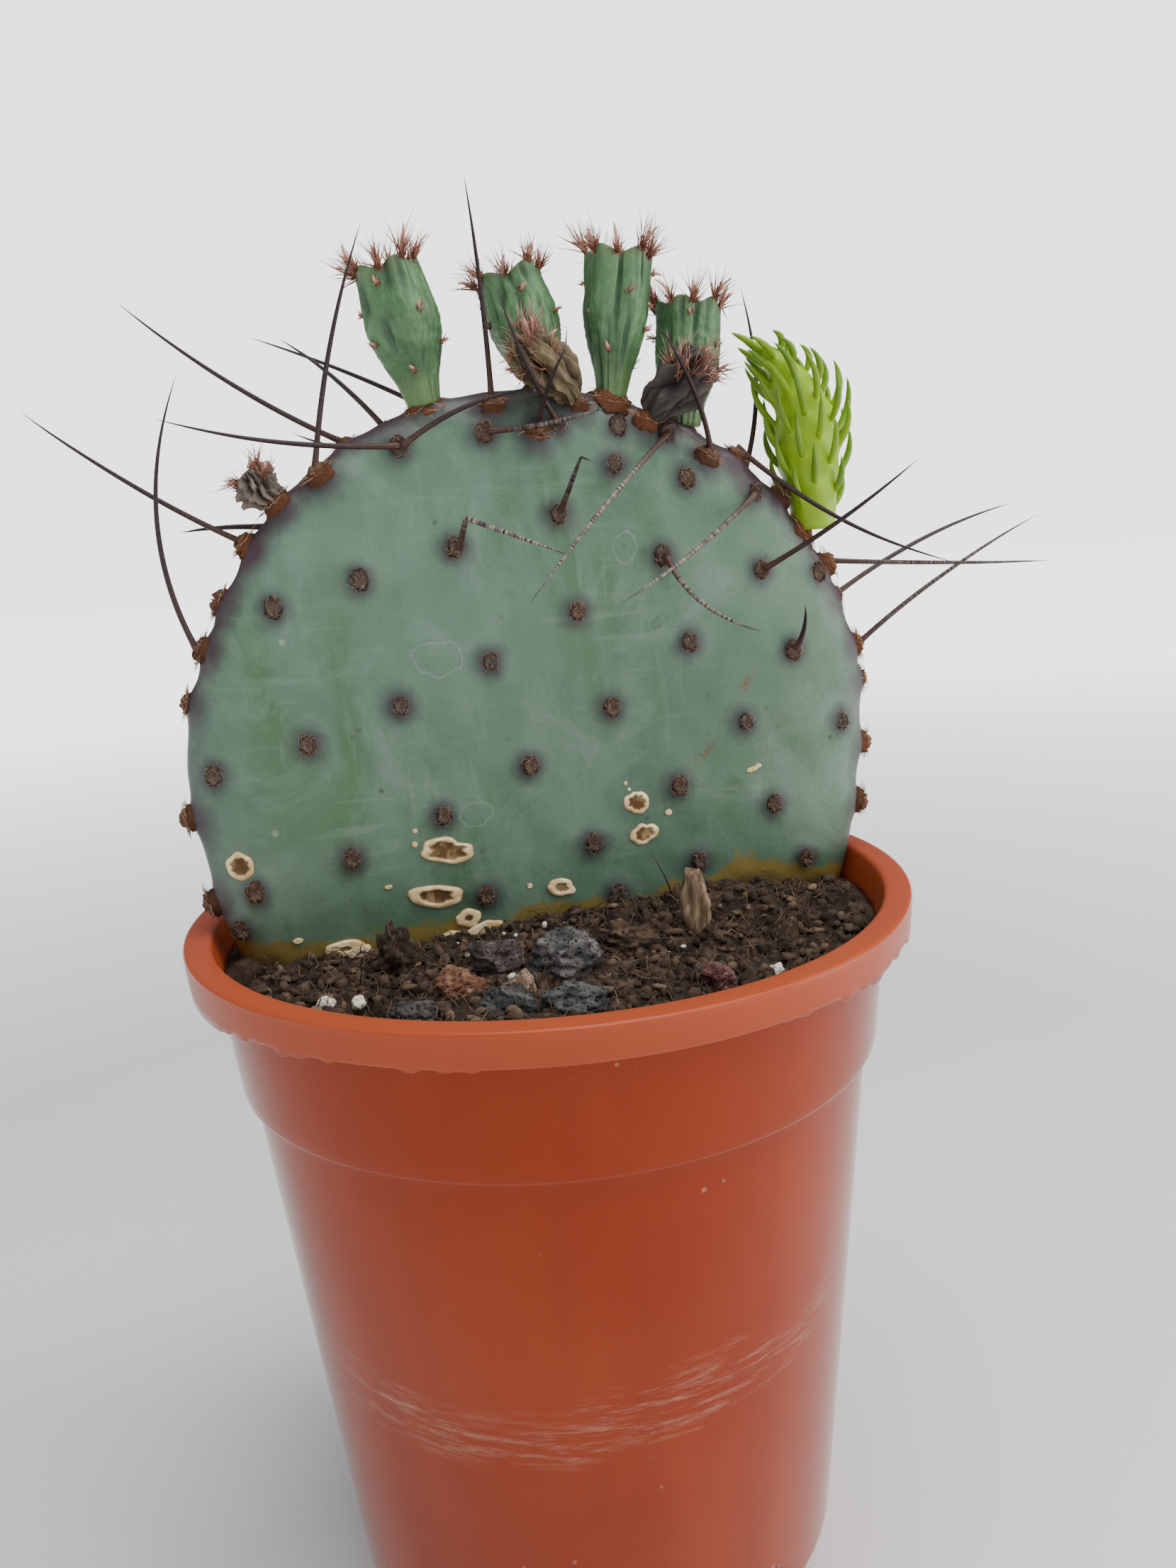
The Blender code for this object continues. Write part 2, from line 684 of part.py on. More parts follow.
def fruit_solid(length, radius):
    """A narrow-footed barrel with shallow ribs and a dished crown."""
    rings = []
    for i in range(FRUIT_STEPS + 1):
        t = i / FRUIT_STEPS
        swell = FRUIT_BASE + (1 - FRUIT_BASE) * math.sin(math.pi / 2 * min(1.0, 1.25 * t)) ** 1.2
        swell *= 1 - 0.10 * max(0.0, t - 0.8) / 0.2
        ring = []
        for j in range(FRUIT_SEGMENTS):
            turn = 2 * math.pi * j / FRUIT_SEGMENTS
            rib = 1 + FRUIT_RIB_DEPTH * math.cos(FRUIT_RIBS * turn) * math.sin(math.pi * t)
            reach = radius * swell * rib
            ring.append(Vector((reach * math.cos(turn), reach * math.sin(turn), length * t)))
        rings.append(ring)
    rings.append(circle(0.66 * radius, length - 0.4 * FRUIT_CROWN_DIP, FRUIT_SEGMENTS))
    rings.append(circle(0.40 * radius, length - FRUIT_CROWN_DIP, FRUIT_SEGMENTS))
    return rings_to_bmesh(rings)


def crumpled_solid(length, radius, seed):
    """A withered fruit: a short spindle, dented all over."""
    noise = np.random.default_rng(seed)
    rings = []
    steps = 6
    for i in range(steps + 1):
        t = i / steps
        swell = WITHERED_FOOT + 0.62 * math.sin(math.pi * min(1.0, 0.12 + 0.80 * t))
        dents = 1 + 0.16 * noise.uniform(-1, 1, 8)
        turns = [2 * math.pi * j / 8 for j in range(8)]
        rings.append(
            [
                Vector((radius * swell * d * math.cos(a), 0.8 * radius * swell * d * math.sin(a), length * t))
                for a, d in zip(turns, dents)
            ]
        )
    return rings_to_bmesh(rings)


def seated(name, bm, matrix, material):
    bmesh.ops.transform(bm, matrix=matrix, verts=bm.verts)
    return piece(name, bm, material)


def make_fruits():
    green = finish_of("fruit_skin", FRUIT_GREEN, 0.5)
    for number, (clock, length, radius, lean, forward) in enumerate(FRUITS, 1):
        gap = seat_gap(lean - clock, FRUIT_BASE * radius)
        matrix = growth_matrix(clock, EDGE_AREOLES[clock], lean, forward, gap)
        seated(f"fruit_{number}", fruit_solid(length, radius), matrix, green)
    brown = finish_of("withered_skin", WITHERED, 0.8)
    for seed, (name, shape) in enumerate(zip(DRIED_NAMES, DRIED_FRUITS), 1):
        clock, length, radius, lean, forward = shape
        gap = seat_gap(lean - clock, WITHERED_FOOT * radius) + CLEARANCE
        matrix = growth_matrix(clock, EDGE_AREOLES[clock], lean, forward, gap)
        seated(name, crumpled_solid(length, radius, seed), matrix, brown)


def shoot_axis(t):
    """The shoot's midline in its own frame: upright, with its tip hooked to the left."""
    hook = SHOOT_HOOK * max(0.0, (t - 0.55) / 0.45) ** 2
    return Vector((hook, 0.0, SHOOT_LENGTH * t))


def shoot_radius(t):
    return SHOOT_RADIUS * (0.72 + 0.28 * math.sin(math.pi * min(1.0, 1.1 * t))) * (1 - 0.45 * t**4)


def leaf_reach(out, s):
    """A leaf's midline: it leaves the shoot outwards and curves up."""
    return out * (0.78 * s - 0.22 * s * s) + Vector((0, 0, 0.25 * s + 0.55 * s * s))


def shoot_leaves(matrix, material):
    """Small curved awl leaves set round the shoot by the golden angle."""
    bm = bmesh.new()
    for i in range(SHOOT_LEAVES):
        t = 0.16 + 0.78 * i / (SHOOT_LEAVES - 1)
        turn = GOLDEN_TURN * i
        out = Vector((math.cos(turn), math.sin(turn), 0))
        root = shoot_axis(t) + out * (shoot_radius(t) - 0.0012)
        reach = SHOOT_LEAF * (0.75 + 0.25 * t)
        rings = []
        for k in range(3):
            s = k / 3
            middle = root + leaf_reach(out, s) * reach
            width = 0.0011 * (1 - s) + 0.0002
            side = out.cross(Vector((0, 0, 1)))
            back = (Vector((0, 0, -0.6)) + out).normalized()
            rings.append([middle + side * width, middle + back * width, middle - side * width])
        part = rings_to_bmesh([*rings, [root + leaf_reach(out, 1) * reach]])
        mesh = bpy.data.meshes.new("leaf")
        bmesh.ops.recalc_face_normals(part, faces=part.faces)
        part.to_mesh(mesh)
        part.free()
        bm.from_mesh(mesh)
        bpy.data.meshes.remove(mesh)
    bmesh.ops.transform(bm, matrix=matrix, verts=bm.verts)
    return helper(piece("shoot_leaves", bm, material))


def make_shoot():
    fresh = finish_of("shoot_green", SHOOT_GREEN, 0.4)
    gap = seat_gap(SHOOT_LEAN - SHOOT_ANGLE, shoot_radius(0))
    matrix = growth_matrix(SHOOT_ANGLE, EDGE_AREOLES[SHOOT_ANGLE], SHOOT_LEAN, 0, gap)
    steps = 9
    rings = []
    for i in range(steps + 1):
        t = i / steps
        rings.append([shoot_axis(t) + point for point in circle(shoot_radius(t), 0.0, 10)])
    shoot = seated("new_shoot", rings_to_bmesh(rings), matrix, fresh)
    boolean(shoot, shoot_leaves(matrix, fresh), "UNION", crossing=True)
    return shoot


# ---------------------------------------------------------------------------------------------
# Stones and litter
# ---------------------------------------------------------------------------------------------


def litter_scale():
    """The litter keeps its layout: its places and sizes follow the radius of the pot's mouth."""
    return (RIM_RADIUS - RIM_WIDTH) / DRAWN_MOUTH


def rock_solid(place, seed, rough=0.16, grow=0.0):
    """A faceted lump of three half sizes, sunk into the soil so that a share of it shows."""
    x, y, half_x, half_y, half_z = (size * litter_scale() for size in place[:5])
    turn, showing = place[5:]
    noise = np.random.default_rng(seed)
    bm = bmesh.new()
    bmesh.ops.create_icosphere(bm, subdivisions=2, radius=1)
    centre = Vector((x, y, SOIL_LEVEL + half_z * (2 * showing - 1)))
    rotation = Matrix.Rotation(math.radians(turn), 3, "Z")
    for vert in bm.verts:
        out = vert.co.normalized()
        size = 1 + rough * noise.uniform(-1, 1)
        shape = Vector((out.x * half_x, out.y * half_y, out.z * half_z)) * size
        vert.co = centre + rotation @ (shape + out * grow)
    return bm


def leaf_solid(grow=0.0):
    """A dead leaf, curled lengthwise into a trough and leaning back, with its foot in the soil."""
    steps = 5
    rings = []
    middle_x, middle_y = (place * litter_scale() for place in LEAF_PLACE)
    for i in range(steps + 1):
        t = i / steps
        up = -LEAF_BURIED - grow + (LEAF_LENGTH + LEAF_BURIED + 2 * grow) * t
        width = LEAF_WIDTH * (0.55 + 0.45 * math.sin(math.pi * (0.2 + 0.75 * t)))
        lean = 0.30 * up
        front = []
        back = []
        for j in range(5):
            turn = (j / 4 - 0.5) * 2 * LEAF_CURL
            reach = width / 2 / math.sin(LEAF_CURL) + grow
            x = middle_x + reach * math.sin(turn)
            y = middle_y - reach * math.cos(turn) + lean + width / 2
            front.append(Vector((x, y, SOIL_LEVEL + up)))
            inner = reach - LEAF_THICKNESS - 2 * grow
            x = middle_x + inner * math.sin(turn)
            y = middle_y - inner * math.cos(turn) + lean + width / 2
            back.append(Vector((x, y, SOIL_LEVEL + up)))
        rings.append(front + back[::-1])
    return rings_to_bmesh(rings)


def litter():
    """Name, colour and a function of growth for everything that lies in the soil's surface."""
    things = []
    for seed, (name, place) in enumerate(STONES.items(), 11):
        colour = STONE_COLOURS[name]
        things.append((name, colour, lambda grow, p=place, s=seed: rock_solid(p, s, 0.14, grow)))
    for seed, (name, place) in enumerate(PERLITE.items(), 31):
        colour = PERLITE_WHITE
        things.append((name, colour, lambda grow, p=place, s=seed: rock_solid(p, s, 0.12, grow)))
    things.append(("bark_piece", BARK_BROWN, lambda grow: rock_solid(BARK, 41, 0.22, grow)))
    things.append(("peat_clump", PEAT, lambda grow: rock_solid(PEAT_CLUMP, 42, 0.20, grow)))
    things.append(("dead_leaf", LEAF_TAN, leaf_solid))
    return things


# ---------------------------------------------------------------------------------------------
# Soil
# ---------------------------------------------------------------------------------------------


def soil_height(x, y):
    x, y = x / litter_scale(), y / litter_scale()
    waves = math.sin(190 * x + 1.1) * math.cos(160 * y) + 0.6 * math.sin(330 * x - 250 * y)
    return SOIL_LEVEL + SOIL_BUMP * waves / 1.6


def soil_solid():
    """Fills the pot up to the soil's level: the pot's hollow, drawn in by the clearance."""
    rings = [[Vector((0, 0, FLOOR + CLEARANCE))]]
    inside = pot_inside()
    for radius, z in inside[1:]:
        if z >= SOIL_LEVEL:
            break
        rings.append(circle(radius - CLEARANCE * 1.5, z + CLEARANCE, SOIL_SEGMENTS))
    (low_r, low_z), (top_r, top_z) = inside[-2], inside[-1]
    if SOIL_LEVEL < low_z:
        (low_r, low_z), (top_r, top_z) = inside[-3], inside[-2]
    wall_r = low_r + (top_r - low_r) * (SOIL_LEVEL - low_z) / (top_z - low_z)
    for share in (1.0, 0.84, 0.66, 0.46, 0.24):
        ring = circle(share * (wall_r - CLEARANCE * 1.5), 0.0, SOIL_SEGMENTS)
        rings.append([Vector((p.x, p.y, soil_height(p.x, p.y))) for p in ring])
    rings.append([Vector((0, 0, soil_height(0, 0)))])
    return rings_to_bmesh(rings)


def make_soil_and_litter():
    peat = finish_of("peat", PEAT, 0.95)
    soil = piece("soil", soil_solid(), peat)
    boolean(soil, helper(piece("pad_cutter", pad_solid(CLEARANCE), peat)), "DIFFERENCE")
    for name, colour, solid in litter():
        piece(name, solid(0.0), finish_of(name, colour, 0.85))
        cutter = helper(piece(f"{name}_cutter", solid(CLEARANCE), peat))
        boolean(soil, cutter, "DIFFERENCE")


clear_scene()
make_pot()
make_pad()
make_spines()
make_fruits()
make_shoot()
make_soil_and_litter()
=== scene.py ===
"""A potted paddle cactus: its looks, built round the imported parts.

Metres, +Z up, and -Y is the front of the plant.
"""

import bpy
import numpy as np
from mathutils import Matrix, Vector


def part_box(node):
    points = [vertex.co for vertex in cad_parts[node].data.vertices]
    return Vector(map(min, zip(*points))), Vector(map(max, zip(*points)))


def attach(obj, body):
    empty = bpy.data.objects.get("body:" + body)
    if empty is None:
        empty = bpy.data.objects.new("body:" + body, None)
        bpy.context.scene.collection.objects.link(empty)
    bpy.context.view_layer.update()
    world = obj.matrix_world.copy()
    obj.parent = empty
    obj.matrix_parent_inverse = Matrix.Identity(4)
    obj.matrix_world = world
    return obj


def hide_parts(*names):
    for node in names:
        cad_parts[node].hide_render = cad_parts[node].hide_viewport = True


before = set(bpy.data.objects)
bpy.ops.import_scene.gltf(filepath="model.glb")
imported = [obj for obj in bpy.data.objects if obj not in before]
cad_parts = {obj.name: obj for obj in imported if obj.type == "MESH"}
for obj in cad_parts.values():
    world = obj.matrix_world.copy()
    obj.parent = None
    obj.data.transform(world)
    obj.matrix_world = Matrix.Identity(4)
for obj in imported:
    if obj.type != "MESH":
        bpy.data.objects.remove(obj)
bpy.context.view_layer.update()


# ---- Studio -----------------------------------------------------------------------------------
# A wide pale floor under soft light: one large softbox overhead, a tall one on each side whose
# reflections run down the pot, and a weak fill in front. The camera stands close and looks down.

EYE = (0.0, -0.2264, 0.2238)
LOOK = np.array((0.03943, 0.97719, -0.20867))
TOP = np.array((0.07919, 0.20512, 0.97553))
FLOOR_RADIUS = 6.0
ROOM_GLOW = 2.6

camera_data = bpy.data.cameras.new("camera")
camera_data.lens = 27.03
camera_data.sensor_width = 36.0
camera_data.clip_start = 0.01
camera = bpy.data.objects.new("camera", camera_data)
camera_axes = np.column_stack([np.cross(LOOK, TOP), TOP, -LOOK, EYE])
camera.matrix_world = Matrix([*camera_axes.tolist(), (0, 0, 0, 1)])
bpy.context.scene.collection.objects.link(camera)
bpy.context.scene.camera = camera


def wire(tree, kind, inputs=(), **settings):
    """Adds a shader node. Each input is a constant, or a socket that is linked to it."""
    node = tree.nodes.new(kind)
    for name, value in settings.items():
        setattr(node, name, value)
    for name, value in dict(inputs).items():
        if isinstance(value, bpy.types.NodeSocket):
            tree.links.new(value, node.inputs[name])
        else:
            node.inputs[name].default_value = value
    return node


def softbox(name, place, aim, width, height, watts, colour=(1, 1, 1)):
    """A rectangular area light at a place, turned to face a point."""
    data = bpy.data.lights.new(name, "AREA")
    data.shape = "RECTANGLE"
    data.size, data.size_y, data.energy, data.color = width, height, watts, colour
    light = bpy.data.objects.new(name, data)
    away = np.subtract(place, aim) / np.linalg.norm(np.subtract(place, aim))
    side = np.cross((0, 0, 1), away) if abs(away[2]) < 0.98 else np.array((1.0, 0, 0))
    side = side / np.linalg.norm(side)
    axes = np.column_stack([side, np.cross(away, side), away, place])
    light.matrix_world = Matrix([*axes.tolist(), (0, 0, 0, 1)])
    bpy.context.scene.collection.objects.link(light)


softbox("overhead", (0.20, -0.20, 1.30), (0, 0, 0.18), 1.0, 0.9, 17.0)
softbox("left_box", (-0.85, -0.30, 0.40), (0, 0, 0.10), 0.60, 1.4, 1.9, (0.85, 0.92, 1.0))
softbox("right_box", (0.85, -0.10, 0.45), (0, 0, 0.10), 0.30, 1.4, 7.0, (1.0, 0.98, 0.95))
softbox("right_strip", (0.62, -0.52, 0.35), (0, 0, 0.10), 0.07, 1.2, 1.6)
softbox("front_fill", (0.50, -1.25, 0.90), (0, 0, 0.15), 0.8, 0.7, 2.5)

world = bpy.data.worlds.new("pale_room")
bpy.context.scene.world = world
world.use_nodes = True
room = world.node_tree
rays = wire(room, "ShaderNodeLightPath")
dim = wire(room, "ShaderNodeBackground", {"Color": (0.90, 0.95, 1.0, 1), "Strength": 0.26})
bright = wire(room, "ShaderNodeBackground", {"Color": (1, 1, 1, 1), "Strength": ROOM_GLOW})
both = wire(room, "ShaderNodeMixShader", {0: rays.outputs["Is Camera Ray"]})
room.links.new(dim.outputs[0], both.inputs[1])
room.links.new(bright.outputs[0], both.inputs[2])
room.links.new(both.outputs[0], room.nodes["World Output"].inputs["Surface"])


def skin(name, grid, material, values=None, fall="root"):
    """A closed skin through points set out as shapes, rows and columns. Each point joins its
    neighbours by a quad, columns close round, and the first and last rows are poles of one point.
    The faces are turned outwards by the sign of the volume that they enclose."""
    shapes, rows, cols = grid.shape[:3]
    index = np.arange(shapes * rows * cols).reshape(shapes, rows, cols)
    index[:, 0] = index[:, 0, :1]
    index[:, -1] = index[:, -1, :1]
    low, high = index[:, :-1], index[:, 1:]
    quads = np.stack([low, np.roll(low, -1, 2), np.roll(high, -1, 2), high], -1).reshape(-1, 4)
    used, quads = np.unique(quads, return_inverse=True)
    quads = quads.reshape(-1, 4)
    points = grid.reshape(-1, 3)[used]
    a, b, c, d = (points[quads[:, k]] for k in range(4))
    if (a * (np.cross(b, c) + np.cross(c, d))).sum() < 0:
        quads = quads[:, ::-1]
    first = quads[:, 0] == quads[:, 1]
    last = quads[:, 2] == quads[:, 3]
    faces = quads[~(first | last)].tolist()
    faces += quads[first][:, 1:].tolist() + quads[last & ~first][:, :3].tolist()
    mesh = bpy.data.meshes.new(name)
    mesh.from_pydata(points.tolist(), [], faces)
    mesh.shade_smooth()
    for key, value in (values or {}).items():
        spread = np.broadcast_to(value, (shapes, rows, cols)).reshape(-1)[used]
        layer = mesh.attributes.new(key, "FLOAT", "POINT")
        layer.data.foreach_set("value", np.ascontiguousarray(spread, np.float32))
    mesh.materials.append(material)
    obj = bpy.data.objects.new(name, mesh)
    bpy.context.scene.collection.objects.link(obj)
    if fall:
        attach(obj, fall)
    return obj


def finish(name, coat=0.0, subsurface=0.0, specular=0.5, rough=0.5):
    """A new material: gives its nodes, its Principled shader and its Object coordinates."""
    material = bpy.data.materials.new(name)
    material.use_nodes = True
    tree = material.node_tree
    shader = tree.nodes["Principled BSDF"]
    shader.inputs["Coat Weight"].default_value = coat
    shader.inputs["Coat Roughness"].default_value = 0.12
    shader.inputs["Subsurface Weight"].default_value = subsurface
    shader.inputs["Subsurface Radius"].default_value = (0.4, 1.0, 0.3)
    shader.inputs["Subsurface Scale"].default_value = 0.0015
    shader.inputs["Specular IOR Level"].default_value = specular
    shader.inputs["Roughness"].default_value = rough
    place = wire(tree, "ShaderNodeTexCoord").outputs["Object"]
    return material, tree, shader, place


def stretched(tree, place, scale, turn=(0, 0, 0)):
    """The place, turned and then stretched, so that a pattern runs in one direction."""
    inputs = {"Vector": place, "Scale": scale, "Rotation": turn}
    return wire(tree, "ShaderNodeMapping", inputs).outputs[0]


def noise(tree, place, scale, detail=4.0, rough=0.55, twist=0.0):
    inputs = {"Vector": place, "Scale": scale, "Detail": detail, "Roughness": rough}
    return wire(tree, "ShaderNodeTexNoise", {**inputs, "Distortion": twist}).outputs["Fac"]


def between(tree, value, low, high, to_low=0.0, to_high=1.0):
    """A value carried from one range to another and held at its ends."""
    inputs = {"Value": value, "From Min": low, "From Max": high, "To Min": to_low, "To Max": to_high}
    return wire(tree, "ShaderNodeMapRange", inputs).outputs[0]


def blend(tree, share, first, second):
    """A colour mixed from two, by a share of the second. Each is a socket, or red, green, blue."""
    first, second = (c if isinstance(c, bpy.types.NodeSocket) else (*c, 1.0) for c in (first, second))
    return wire(tree, "ShaderNodeMix", {0: share, 6: first, 7: second}, data_type="RGBA").outputs[2]


def sums(tree, operation, first, second=0.0):
    return wire(tree, "ShaderNodeMath", {0: first, 1: second}, operation=operation).outputs[0]


def times(tree, first, second):
    return sums(tree, "MULTIPLY", first, second)


def plus(tree, first, second):
    return sums(tree, "ADD", first, second)


def ink(tree, name):
    """The value that a mesh carries under this name."""
    return wire(tree, "ShaderNodeAttribute", attribute_name=name).outputs["Fac"]


def effect(name, sockets):
    """An empty node group with the named inputs, given as (name, kind, value), and its ends."""
    group = bpy.data.node_groups.new(name, "ShaderNodeTree")
    for label, kind, value in sockets:
        socket = group.interface.new_socket(label, in_out="INPUT", socket_type=kind)
        if value is not None:
            socket.default_value = value
    start, end = group.nodes.new("NodeGroupInput"), group.nodes.new("NodeGroupOutput")
    return group, start, end


# Two effects that most of the materials share. Patches gives a soft mask of cloudy blotches, and
# tooth gives the normal of a fine rough surface.
patches, start, end = effect(
    "patches",
    [("Place", "NodeSocketVector", None), ("Scale", "NodeSocketFloat", 60.0),
     ("Low", "NodeSocketFloat", 0.45), ("High", "NodeSocketFloat", 0.6)],
)
patches.interface.new_socket("Mask", in_out="OUTPUT", socket_type="NodeSocketFloat")
cloud = noise(patches, start.outputs["Place"], start.outputs["Scale"], 5.0, 0.6, 0.4)
mask = between(patches, cloud, start.outputs["Low"], start.outputs["High"])
patches.links.new(mask, end.inputs["Mask"])

tooth, start, end = effect(
    "tooth",
    [("Place", "NodeSocketVector", None), ("Scale", "NodeSocketFloat", 900.0),
     ("Depth", "NodeSocketFloat", 0.0002), ("Strength", "NodeSocketFloat", 0.5)],
)
tooth.interface.new_socket("Normal", in_out="OUTPUT", socket_type="NodeSocketVector")
coarse = noise(tooth, start.outputs["Place"], start.outputs["Scale"], 6.0, 0.65)
bumps = {"Height": coarse, "Distance": start.outputs["Depth"], "Strength": start.outputs["Strength"]}
tooth.links.new(wire(tooth, "ShaderNodeBump", bumps).outputs[0], end.inputs["Normal"])


def patchy(tree, place, scale, low, high):
    inputs = {"Place": place, "Scale": scale, "Low": low, "High": high}
    return wire(tree, "ShaderNodeGroup", inputs, node_tree=patches).outputs["Mask"]


def toothed(tree, place, scale, depth, strength=0.6):
    inputs = {"Place": place, "Scale": scale, "Depth": depth, "Strength": strength}
    return wire(tree, "ShaderNodeGroup", inputs, node_tree=tooth).outputs["Normal"]


def bumpy(tree, height, depth, strength):
    bumps = {"Height": height, "Distance": depth, "Strength": strength}
    return wire(tree, "ShaderNodeBump", bumps).outputs[0]


def give(tree, shader, **inputs):
    """Links sockets to the shader's inputs of those names, with spaces for underscores."""
    for name, socket in inputs.items():
        tree.links.new(socket, shader.inputs[name.replace("_", " ")])


def circles(rows, cols, radius, height):
    """Rings of points about the Z axis: radius and height are given for each row."""
    turn = np.linspace(0, 2 * np.pi, cols, endpoint=False)
    grid = np.zeros((rows, cols, 3))
    grid[..., 0] = np.cos(turn) * np.reshape(radius, (rows, -1))
    grid[..., 1] = np.sin(turn) * np.reshape(radius, (rows, -1))
    grid[..., 2] = np.reshape(height, (rows, -1))
    return grid


floor_paint, tree, shader, place = finish("floor_paint", rough=0.8)
tone = patchy(tree, place, 3.0, 0.3, 0.7)
give(tree, shader, Base_Color=blend(tree, tone, (0.80, 0.80, 0.79), (0.83, 0.83, 0.82)))
far = wire(tree, "ShaderNodeVectorMath", {0: place}, operation="LENGTH").outputs["Value"]
give(tree, shader, Emission_Strength=between(tree, far, 0.35, 1.6, 0.0, ROOM_GLOW))
shader.inputs["Emission Color"].default_value = (1, 1, 1, 1)
floor_rows = np.array([0, 0.3, 1.0, FLOOR_RADIUS, FLOOR_RADIUS, 0])
floor_heights = np.array([0, 0, 0, 0, -0.02, -0.02]) - 0.0001
stage_floor = skin("floor", circles(6, 96, floor_rows, floor_heights)[None], floor_paint, fall=None)


# ---- Pot --------------------------------------------------------------------------------------
# A thin-walled polypropylene nursery pot, moulded in one piece: a rim with a turned-down lip, an
# upper band above a small step, a tapered wall with six arched recesses, and a stepped foot.

POT_HEIGHT = 0.155
RIM_RADIUS = 0.070
RIM_WIDTH = 0.0050
RIM_DROP = 0.0062
RIM_LAP = 0.0005
WALL = 0.0015
BAND_DROP = 0.0287
BAND_STEP = 0.0018
WALL_TAPER = 0.093
FOOT_HEIGHT = 0.016
FOOT_STEP = 0.0035
FOOT_RING = 0.0050
CHANNEL_DEPTH = 0.0025
CHANNEL_WIDTH = 0.0130
POT_FLOOR = 0.0020
ARCHES = 6
ARCH_HALF = 0.011
ARCH_TOP = 0.031
ARCH_DEPTH = 0.0040
FLASH = 0.0015
POT_COLUMNS = 540


def band_radius(z):
    return RIM_RADIUS - RIM_WIDTH + RIM_LAP - WALL_TAPER * (POT_HEIGHT - z)


def wall_radius(z):
    return band_radius(z) - BAND_STEP


def rounded(points, radius, steps=4):
    """Cuts each corner of a profile with a quadratic curve that starts and ends at the radius, or
    at under half of a short side."""
    points = np.array(points)
    here, before, after = points[1:-1], points[:-2], points[2:]
    back, ahead = before - here, after - here
    back *= np.minimum(radius / np.linalg.norm(back, axis=1), 0.45)[:, None]
    ahead *= np.minimum(radius / np.linalg.norm(ahead, axis=1), 0.45)[:, None]
    t = np.linspace(0, 1, steps)[:, None, None]
    curve = here + back * (1 - t) ** 2 + ahead * t**2
    return np.vstack([points[:1], curve.transpose(1, 0, 2).reshape(-1, 2), points[-1:]])


def spaced(points, step):
    """The same profile with no gap between points longer than the step."""
    runs = [points[:1]]
    for a, b in zip(points, points[1:]):
        count = max(1, int(np.ceil(np.linalg.norm(b - a) / step)))
        runs.append(a + (b - a) * np.linspace(0, 1, count + 1)[1:, None])
    return np.vstack(runs)


foot = wall_radius(FOOT_HEIGHT) - FOOT_STEP
channel_out = foot - FOOT_RING
channel_in = channel_out - CHANNEL_WIDTH
step_z = POT_HEIGHT - BAND_DROP
thick_top = ARCH_TOP + 2 * WALL
lip = RIM_RADIUS - 0.0004
hollow = [
    (0.0, POT_FLOOR),
    (channel_in - POT_FLOOR, POT_FLOOR),
    (channel_in, POT_FLOOR + CHANNEL_DEPTH),
    (foot - WALL - FOOT_RING / 2, POT_FLOOR + CHANNEL_DEPTH),
    (foot - WALL, FOOT_HEIGHT / 2),
    (wall_radius(ARCH_TOP) - ARCH_DEPTH - WALL, thick_top),
    (wall_radius(thick_top + ARCH_DEPTH) - WALL, thick_top + ARCH_DEPTH),
    (wall_radius(step_z) - WALL, step_z),
    (band_radius(step_z + 2 * WALL) - WALL, step_z + 2 * WALL),
    (band_radius(POT_HEIGHT - RIM_DROP) - WALL, POT_HEIGHT - RIM_DROP),
    (RIM_RADIUS - RIM_WIDTH, POT_HEIGHT),
]
shell = [
    (RIM_RADIUS, POT_HEIGHT),
    (lip, POT_HEIGHT - RIM_DROP),
    (lip - WALL, POT_HEIGHT - RIM_DROP),
    (lip - WALL, POT_HEIGHT - WALL),
    (band_radius(POT_HEIGHT - WALL), POT_HEIGHT - WALL),
    (band_radius(step_z), step_z),
    (wall_radius(step_z), step_z),
    (wall_radius(FOOT_HEIGHT + FOOT_STEP), FOOT_HEIGHT + FOOT_STEP),
    (foot, FOOT_HEIGHT),
    (foot - 0.0014, 0.0),
    (channel_out, 0.0),
    (channel_out, CHANNEL_DEPTH),
    (channel_in, CHANNEL_DEPTH),
    (channel_in, 0.0),
    (0.0, 0.0),
]
profile = spaced(rounded(hollow + shell, 0.0009), 0.0024)
outside = np.cumsum(np.r_[0, np.diff(profile[:, 1]) < -1e-9]) > 0
outside &= profile[:, 0] > foot - 0.002
low_wall = outside & (profile[:, 1] > 0.012) & (profile[:, 1] < 0.036)
extra = (profile[low_wall][:-1] + profile[low_wall][1:]) / 2
at = np.flatnonzero(low_wall)[1:]
profile = np.insert(profile, at, extra, axis=0)
outside = np.insert(outside, at, True)
pot_grid = circles(len(profile), POT_COLUMNS, profile[:, 0], profile[:, 1])

# Each recess is a flat face set into the wall inside an arch-shaped outline.
turn = np.linspace(0, 2 * np.pi, POT_COLUMNS, endpoint=False)
from_arch = (turn + np.pi / ARCHES) % (2 * np.pi / ARCHES) - np.pi / ARCHES
radius, height = profile[:, :1], profile[:, 1:]
sideways = np.abs(radius * np.sin(from_arch))
spring = ARCH_TOP - ARCH_HALF * 0.6
over_spring = np.maximum(height - spring, 0) / (ARCH_TOP - spring)
inside_arch = 1 - np.hypot(sideways / ARCH_HALF, over_spring)
share = (height - FOOT_HEIGHT) / (ARCH_TOP - FOOT_HEIGHT)
low_face, high_face = wall_radius(FOOT_HEIGHT) - FOOT_STEP, wall_radius(ARCH_TOP) - ARCH_DEPTH
flat_face = (low_face + (high_face - low_face) * share) / np.cos(from_arch)
press = np.clip(inside_arch / 0.07, 0, 1)
press = press * press * (3 - 2 * press) * (outside[:, None] & (height > FOOT_HEIGHT - 0.0005))
pressed = radius + (np.minimum(flat_face, radius) - radius) * press

